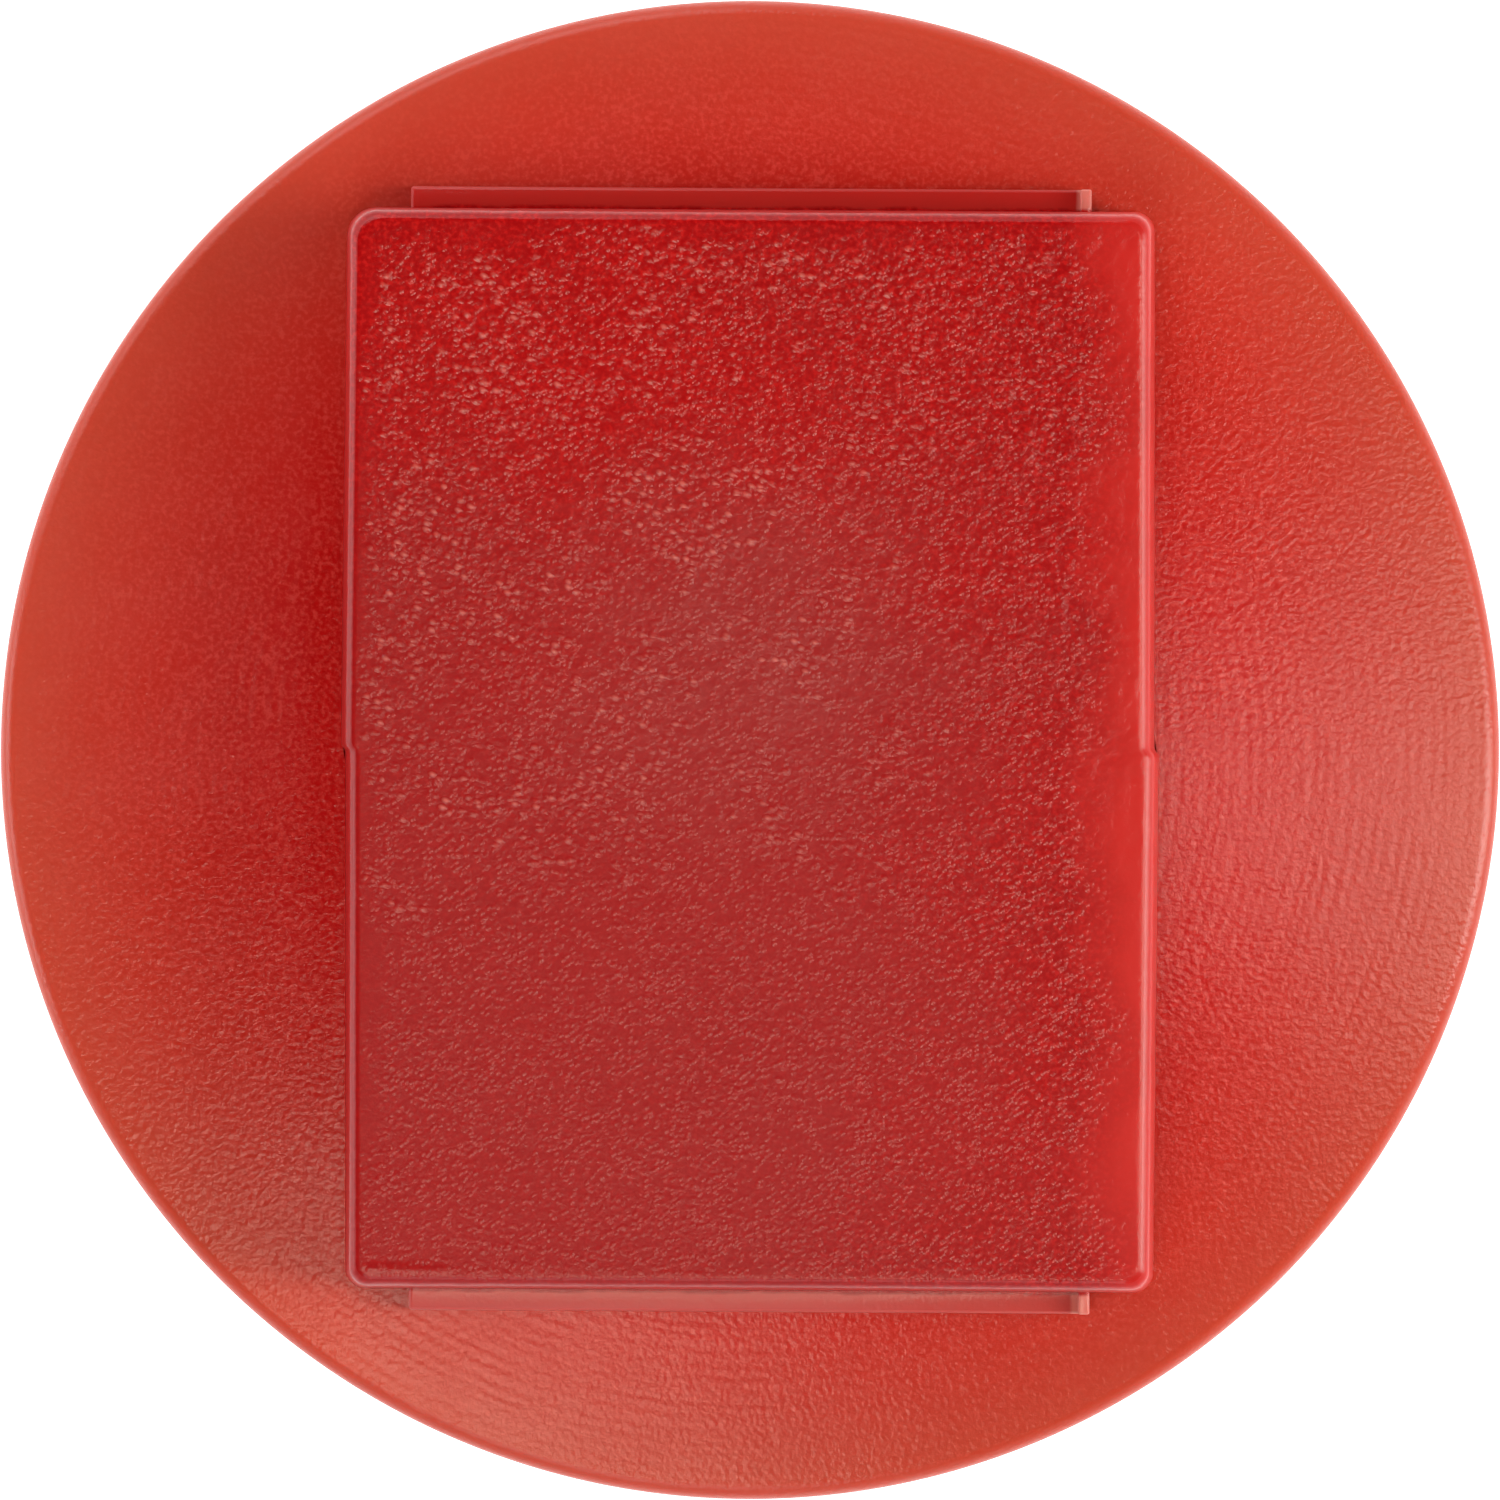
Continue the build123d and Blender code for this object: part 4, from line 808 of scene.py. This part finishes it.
def dressed(names, finish):
    """Gives CAD pieces their material."""
    for name in names:
        slots = nodes[name].material_slots
        for place in slots:
            place.material = finish.material
        if not slots:
            nodes[name].data.materials.append(finish.material)


plate = plated_steel()
dressed(("head_screw", "head_washer", "slip_washer", "pusher_screw", "tab_washer", "lever_pin"), plate)

# ---------------------------------------------------------------- spindle and latch dogs
# The spindle joins the head to the pusher plate, and the two dogs hold it when it is pushed in.
# They are turned and milled from bright free-cutting steel and left oiled, with fine tool marks.


def turned_steel():
    """Bright steel with tool marks round the shaft and a thin brown oil film."""
    finish = Finish("turned_steel", 0.3, metallic=1.0)
    edges = worn_edges(finish, 0.06 * mm)
    film = finish.spread(finish.noise(3.5 * mm, 4), 0.0, 1.0)
    body = finish.colour((0.50, 0.50, 0.51), (0.40, 0.36, 0.31), film)
    finish.colour(body, (0.68, 0.68, 0.68), edges)
    marks = finish.noise(0.10 * mm, 2, stretch=(0.04, 0.04, 1.0))
    finish.gloss(finish.spread(marks, 0.20, 0.42))
    finish.relief(marks, 0.002 * mm)
    return finish


dressed(("spindle", "latch_dog_upper", "latch_dog_lower"), turned_steel())

# ---------------------------------------------------------------- springs and snap rings
# Compression and torsion coils wound from drawn spring wire, with closed ends ground flat, and the
# open rings and clip bent or stamped from the same steel.


def spring_wire():
    """Drawn wire: dark oxide with lighter rubbed streaks."""
    finish = Finish("spring_wire", 0.36, metallic=1.0)
    oxide = finish.spread(finish.noise(0.8 * mm, 4), 0.0, 1.0)
    finish.colour((0.36, 0.35, 0.34), (0.50, 0.49, 0.47), oxide)
    finish.gloss(finish.spread(finish.noise(0.25 * mm, 3), 0.28, 0.48))
    finish.relief(finish.noise(0.07 * mm, 2), 0.0015 * mm)
    return finish


def wound(name, centre, coil_r, wire_r, low, high, turns, steps=40, sides=14):
    """Compression coil with closed ends ground flat at both levels."""
    x, y = centre
    count = int(turns * steps)
    t = np.linspace(0, 1, count + 1)
    closed, ground = 0.8 / turns, wire_r * 0.45
    rise = np.clip((t - closed) / (1 - 2 * closed), 0, 1)
    start, end = low + ground, high - ground
    z = start + (end - start) * (0.9 * rise + 0.1 * t)
    turn = 2 * math.pi * turns * t
    round_wire = np.linspace(0, 2 * math.pi, sides, endpoint=False)
    r = coil_r + wire_r * np.cos(round_wire)[None, :]
    up = np.clip(z[:, None] + wire_r * np.sin(round_wire)[None, :], low, high)
    points = np.stack([x + r * np.cos(turn)[:, None], y + r * np.sin(turn)[:, None], up], axis=-1)
    faces = [
        (i * sides + a, i * sides + b, (i + 1) * sides + b, (i + 1) * sides + a)
        for i in range(count)
        for a, b in ring_pairs(sides)
    ]
    faces += [tuple(range(sides)), tuple(range(count * sides + sides - 1, count * sides - 1, -1))]
    return solid(name, points.reshape(-1, 3), faces)


wire = spring_wire()
return_wire_r = 0.45 * mm
plunger_wire_r = 0.2 * mm
low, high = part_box("return_spring")
coil_r = high[0] - return_wire_r
coil = wound("return_coil", (0, 0), coil_r, return_wire_r, low[2], high[2], turns=5.0, steps=72, sides=18)
fitted(coil, "base", wire.material, "return_spring", crease=50)
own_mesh(coil)
for side in ("nc", "no"):
    low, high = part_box(side + "_plunger_spring")
    middle = ((low[0] + high[0]) / 2, (low[1] + high[1]) / 2)
    coil_r = (high[0] - low[0]) / 2 - plunger_wire_r
    coil = wound(side + "_plunger_coil", middle, coil_r, plunger_wire_r, low[2], high[2], turns=9.5)
    fitted(coil, "base", wire.material, side + "_plunger_spring", crease=50)
    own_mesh(coil)
dressed(("twist_spring", "rotor_clip", "cage_ring", "dog_ring_spring"), wire)
dressed(("nc_bridge_spring", "no_bridge_spring"), wire)

# ---------------------------------------------------------------- rotor, latch cage, pusher and seal cover
# The sliding and turning pieces of the latch are injection moulded in natural nylon, a milky white that
# lets some light in, with ejector-side scuffs and a faint grey where they rub.


def natural_nylon():
    """Milky nylon with soft clouds, rub marks and an even satin gloss."""
    finish = Finish("natural_nylon", 0.42)
    edges = worn_edges(finish, 0.12 * mm)
    clouds = finish.spread(finish.noise(4.0 * mm, 3), 0.0, 1.0)
    body = finish.colour((0.72, 0.69, 0.60), (0.78, 0.76, 0.69), clouds)
    finish.colour(body, (0.84, 0.83, 0.78), edges)
    finish.gloss(finish.spread(finish.noise(0.9 * mm, 4), 0.34, 0.52))
    finish.relief(finish.noise(0.16 * mm, 3), 0.002 * mm)
    finish.shader.inputs["Subsurface Weight"].default_value = 0.25
    finish.shader.inputs["Subsurface Radius"].default_value = (1.0, 0.9, 0.7)
    finish.shader.inputs["Subsurface Scale"].default_value = 1.0 * mm
    return finish


dressed(("rotor", "latch_cage", "cage_cover", "pusher_plate", "seal_cover"), natural_nylon())

# ---------------------------------------------------------------- housing
# Flange, collar, threaded barrel and bayonet tail are one moulding in black glass-filled nylon. Its
# thread is a real single-start helix, and the bore inside is stepped for the seal, spring and cage.


def moulded(name, colour, lighter, gloss, texture, depth):
    """Matt engineering plastic: fibre clouds, spark-eroded texture and edges rubbed lighter."""
    finish = Finish(name, sum(gloss) / 2)
    edges = worn_edges(finish, 0.10 * mm)
    drift = finish.spread(finish.noise(3.0 * mm, 4), 0.0, 1.0)
    body = finish.colour(colour, tuple(0.80 * a + 0.20 * b for a, b in zip(colour, lighter)), drift)
    finish.colour(body, lighter, edges)
    finish.gloss(finish.spread(finish.noise(0.7 * mm, 4), *gloss))
    finish.relief(finish.noise(texture, 2), depth)
    finish.relief(finish.noise(1.8 * mm, 2), depth * 0.8)
    return finish


black_plastic = moulded(
    "black_glass_nylon", (0.018, 0.018, 0.019), (0.055, 0.055, 0.057), (0.42, 0.62), 0.14 * mm, 0.006 * mm
)
housing_low, housing_high = (Vector(corner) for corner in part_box("housing"))
tail_z, collar_z = housing_low.z, housing_high.z
flange_r = housing_high.x
flange_z = (1.5 * mm, 4.5 * mm)
collar_r = 12.0 * mm
neck_r = 11.0 * mm
thread_root_r = 10.38 * mm
thread_z = (tail_z + 5.6 * mm, -3.0 * mm)
thread_pitch = 1.55 * mm
thread_step = 0.1 * mm
thread_flat = 0.08
thread_foot = 0.42
thread_run_in = 1.0 * thread_pitch
thread_run_out = 0.5 * thread_pitch
moulded_edge = 0.25 * mm
collar_edge = 0.4 * mm
cage_bore_r = 9.0 * mm
upper_bore_r = 8.5 * mm
seal_seat_r = 8.0 * mm
seal_seat_z = (10.68 * mm, 12.38 * mm)
guide_r = 5.55 * mm
web_z = 8.18 * mm
cage_z = (tail_z + 3.78 * mm, -4.81 * mm)
groove_depth, groove_height = 0.56 * mm, 1.06 * mm
nib_width, nib_reach, nib_edge = 3.0 * mm, 1.0 * mm, 0.1 * mm
keyway_width, keyway_depth = 3.2 * mm, 1.0 * mm
lug_width, lug_reach, lug_height, lug_edge = 5.0 * mm, 0.9 * mm, 2.0 * mm, 0.15 * mm
lug_z = tail_z + 0.4 * mm
root = 0.5 * mm
around_housing = 216


def housing_profile():
    """Closed outline of the housing from the tail, up the thread and collar, and down the stepped bore."""
    groove_r, groove_low = cage_bore_r + groove_depth, cage_z[0] - groove_height
    points = [(cage_bore_r, tail_z), (thread_root_r - moulded_edge, tail_z)]
    points += [(thread_root_r, tail_z + moulded_edge)]
    points += [(thread_root_r, z) for z in np.arange(thread_z[0], thread_z[1], thread_step)]
    points += [(neck_r, thread_z[1]), (neck_r, flange_z[0]), (flange_r - moulded_edge, flange_z[0])]
    points += [(flange_r, flange_z[0] + moulded_edge), (flange_r, flange_z[1] - moulded_edge)]
    points += [(flange_r - moulded_edge, flange_z[1]), (collar_r, flange_z[1])]
    points += arc((collar_r - collar_edge, collar_z - collar_edge), collar_edge, 0, 90, 6)
    points += [(cage_bore_r, collar_z), (cage_bore_r, seal_seat_z[1]), (seal_seat_r, seal_seat_z[1])]
    points += [(seal_seat_r, seal_seat_z[0]), (guide_r, seal_seat_z[0]), (guide_r, web_z)]
    points += [(upper_bore_r, web_z), (upper_bore_r, cage_z[1]), (cage_bore_r, cage_z[1])]
    points += [(cage_bore_r, cage_z[0]), (groove_r, cage_z[0])]
    return points + [(groove_r, groove_low), (cage_bore_r, groove_low)]


def helix(r, turn, z):
    """Radius of the threaded barrel: flat crests and roots with sloping flanks, run out at both ends."""
    threaded = (z > thread_z[0] - 1e-6) & (z < thread_z[1] - 1e-6) & (np.abs(r - thread_root_r) < 1e-6)
    place = np.abs(((z - thread_z[0]) / thread_pitch - turn / (2 * math.pi)) % 1.0 - 0.5)
    tooth = np.clip((thread_foot - place) / (thread_foot - thread_flat), 0, 1)
    starts = np.clip((z - thread_z[0]) / thread_run_in, 0, 1)
    ends = np.clip((thread_z[1] - z) / thread_run_out, 0, 1)
    return np.where(threaded, r + (neck_r - thread_root_r) * tooth * (starts * ends), r)


def lugs_and_nib():
    """Two bayonet lugs on the tail and the nib that keeps the housing from turning in the panel."""
    lug_r, lug_y = (thread_root_r - root, thread_root_r + lug_reach), (-lug_width / 2, lug_width / 2)
    lugs = [brick(lug_r, lug_y, (lug_z, lug_z + lug_height), turn) for turn in (0, math.pi)]
    nib_x, nib_y = (-nib_width / 2, nib_width / 2), (neck_r - root, neck_r + nib_reach)
    nib = brick(nib_x, nib_y, (thread_z[1], flange_z[0] + root))
    return [softened(lug, lug_edge) for lug in lugs] + [softened(nib, nib_edge)]


housing = solid("housing_moulding", *wrapped(housing_profile(), around_housing, reach=helix))
worked(housing, "UNION", lugs_and_nib())
key_x, key_y = (-keyway_width / 2, keyway_width / 2), (neck_r - keyway_depth, neck_r + 0.1 * mm)
worked(housing, "DIFFERENCE", [brick(key_x, key_y, thread_z)])
fitted(housing, "base", black_plastic.material, "housing")

# ---------------------------------------------------------------- panel gasket and stem seal
# Two rings moulded in black nitrile rubber: the flat one under the flange keeps water out of the panel
# hole, and the cup with two soft lips wipes the rotor. They have rounded edges, flash lines and bloom.


def nitrile_rubber():
    """Dull black rubber with a grey bloom and a faint moulded grain."""
    finish = Finish("nitrile_rubber", 0.75)
    bloom = finish.spread(finish.noise(1.6 * mm, 5), 0.0, 1.0, 0.45, 0.75)
    finish.colour((0.016, 0.016, 0.017), (0.048, 0.047, 0.045), bloom)
    finish.gloss(finish.spread(finish.noise(0.5 * mm, 3), 0.62, 0.86))
    finish.relief(finish.noise(0.10 * mm, 3), 0.004 * mm)
    finish.relief(finish.noise(1.1 * mm, 2), 0.012 * mm)
    return finish


rubber = nitrile_rubber()
gasket_low, gasket_high = (Vector(corner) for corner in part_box("panel_gasket"))
gasket_in_r = 11.15 * mm
gasket_out_r = gasket_high.x
gasket_edge = 0.35 * mm
bead_depth = 0.12 * mm
notch_half, notch_reach = 1.55 * mm, 12.05 * mm


def gasket_profile():
    """Rounded ring with two shallow grooves in each face, between three sealing beads."""
    low, high = gasket_low.z, gasket_high.z
    inner, outer = gasket_in_r + gasket_edge, gasket_out_r - gasket_edge
    across = np.linspace(inner, outer, 31)
    beads = bead_depth * np.sin(3 * math.pi * (across - inner) / (outer - inner)) ** 2
    points = arc((inner, low + gasket_edge), gasket_edge, 180, 270, 6)
    points += list(zip(across, low + beads))[1:-1]
    points += arc((outer, low + gasket_edge), gasket_edge, 270, 360, 6)
    points += arc((outer, high - gasket_edge), gasket_edge, 0, 90, 6)
    points += list(zip(across[::-1], (high - beads)[::-1]))[1:-1]
    return points + arc((inner, high - gasket_edge), gasket_edge, 90, 180, 6)


gasket = solid("panel_gasket_ring", *wrapped(gasket_profile(), 160))
worked(gasket, "DIFFERENCE", [brick((-notch_half, notch_half), (0, notch_reach), (-1 * mm, 3 * mm))])
fitted(gasket, "base", rubber.material, "panel_gasket", crease=50)

seal_low, seal_high = (Vector(corner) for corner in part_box("stem_seal"))
seal_out_r = seal_high.x
seal_in_r = 5.6 * mm
seal_wall = 0.7 * mm
seal_lip_lean = 0.16 * mm
seal_heel_edge = 0.15 * mm


def seal_profile():
    """Cup open upwards: a flat heel, an outer wall, and an inner lip leaning in to the rotor."""
    low, high, half = seal_low.z, seal_high.z, seal_wall / 2
    heel_r, cup_z = seal_in_r + seal_lip_lean, low + seal_wall + half
    points = [(heel_r + seal_heel_edge, low), (seal_out_r - seal_heel_edge, low)]
    points += [(seal_out_r, low + seal_heel_edge)]
    points += arc((seal_out_r - half, high - half), half, 0, 180, 9)
    points += arc((seal_out_r - seal_wall - half, cup_z), half, 0, -90, 6)
    points += arc((heel_r + seal_wall + half, cup_z), half, 270, 180, 6)
    points += arc((seal_in_r + half, high - half), half, 0, 180, 9)
    return points + [(heel_r, low + seal_heel_edge)]


seal = solid("stem_seal_cup", *wrapped(seal_profile(), 96))
fitted(seal, "base", rubber.material, "stem_seal", crease=60)

# ---------------------------------------------------------------- bezel ring
# The ring that shows round the flange is moulded in signal yellow and snapped over it, satin on top
# with flow clouds, fine scuffs and edges that have gone a little pale.

yellow_plastic = moulded(
    "signal_yellow_plastic", (0.78, 0.47, 0.012), (0.86, 0.60, 0.06), (0.28, 0.42), 0.16 * mm, 0.003 * mm
)
dressed(("bezel_ring",), yellow_plastic)

# ---------------------------------------------------------------- lock nut, contact carrier and lever
# Behind the panel a black nut pulls the housing tight, and a black carrier hooks over the bayonet lugs,
# held by a blue lever. All are moulded in glass-filled nylon; the fibres show as light streaks.

nut_plastic = moulded(
    "nut_glass_nylon", (0.021, 0.021, 0.022), (0.060, 0.060, 0.062), (0.48, 0.68), 0.18 * mm, 0.010 * mm
)
carrier_plastic = moulded(
    "carrier_glass_nylon", (0.026, 0.026, 0.028), (0.068, 0.068, 0.070), (0.40, 0.60), 0.15 * mm, 0.006 * mm
)
lever_plastic = moulded(
    "lever_blue_nylon", (0.022, 0.105, 0.32), (0.060, 0.19, 0.46), (0.32, 0.50), 0.14 * mm, 0.004 * mm
)
dressed(("lock_nut",), nut_plastic)
dressed(("contact_carrier",), carrier_plastic)
dressed(("lock_lever",), lever_plastic)

# ---------------------------------------------------------------- contact modules
# Two grey modules snap into the carrier, one that opens and one that closes. Each is a glass-filled body
# with a smooth cover, a coloured plunger, silver-tipped brass strips and plated clamps.

body_plastic = moulded(
    "module_grey_nylon", (0.27, 0.28, 0.29), (0.40, 0.41, 0.42), (0.46, 0.66), 0.16 * mm, 0.007 * mm
)
cover_plastic = moulded(
    "cover_grey_nylon", (0.34, 0.35, 0.36), (0.46, 0.47, 0.48), (0.30, 0.46), 0.13 * mm, 0.003 * mm
)
red_plastic = moulded(
    "plunger_red_nylon", (0.52, 0.022, 0.016), (0.64, 0.060, 0.045), (0.30, 0.48), 0.14 * mm, 0.003 * mm
)
green_plastic = moulded(
    "plunger_green_nylon", (0.020, 0.27, 0.060), (0.060, 0.38, 0.13), (0.30, 0.48), 0.14 * mm, 0.003 * mm
)


def brass_strip():
    """Rolled brass, partly silvered: warm and cool patches, rolling lines and brighter edges."""
    finish = Finish("brass_strip", 0.3, metallic=1.0)
    edges = worn_edges(finish, 0.06 * mm)
    silvered = finish.spread(finish.noise(1.8 * mm, 4), 0.0, 1.0)
    body = finish.colour((0.80, 0.60, 0.27), (0.80, 0.75, 0.62), silvered)
    finish.colour(body, (0.88, 0.84, 0.72), edges)
    lines = finish.noise(0.08 * mm, 2, stretch=(1.0, 1.0, 0.05))
    finish.gloss(finish.spread(lines, 0.20, 0.40))
    finish.relief(lines, 0.001 * mm)
    return finish


strip = brass_strip()
for side, plunger in (("nc", red_plastic), ("no", green_plastic)):
    dressed((side + "_contact_body",), body_plastic)
    dressed((side + "_contact_cover",), cover_plastic)
    dressed((side + "_plunger",), plunger)
    dressed((side + "_bridge", side + "_terminal_upper", side + "_terminal_lower"), strip)
    dressed((side + "_terminal_screws", side + "_wire_clamps"), plate)
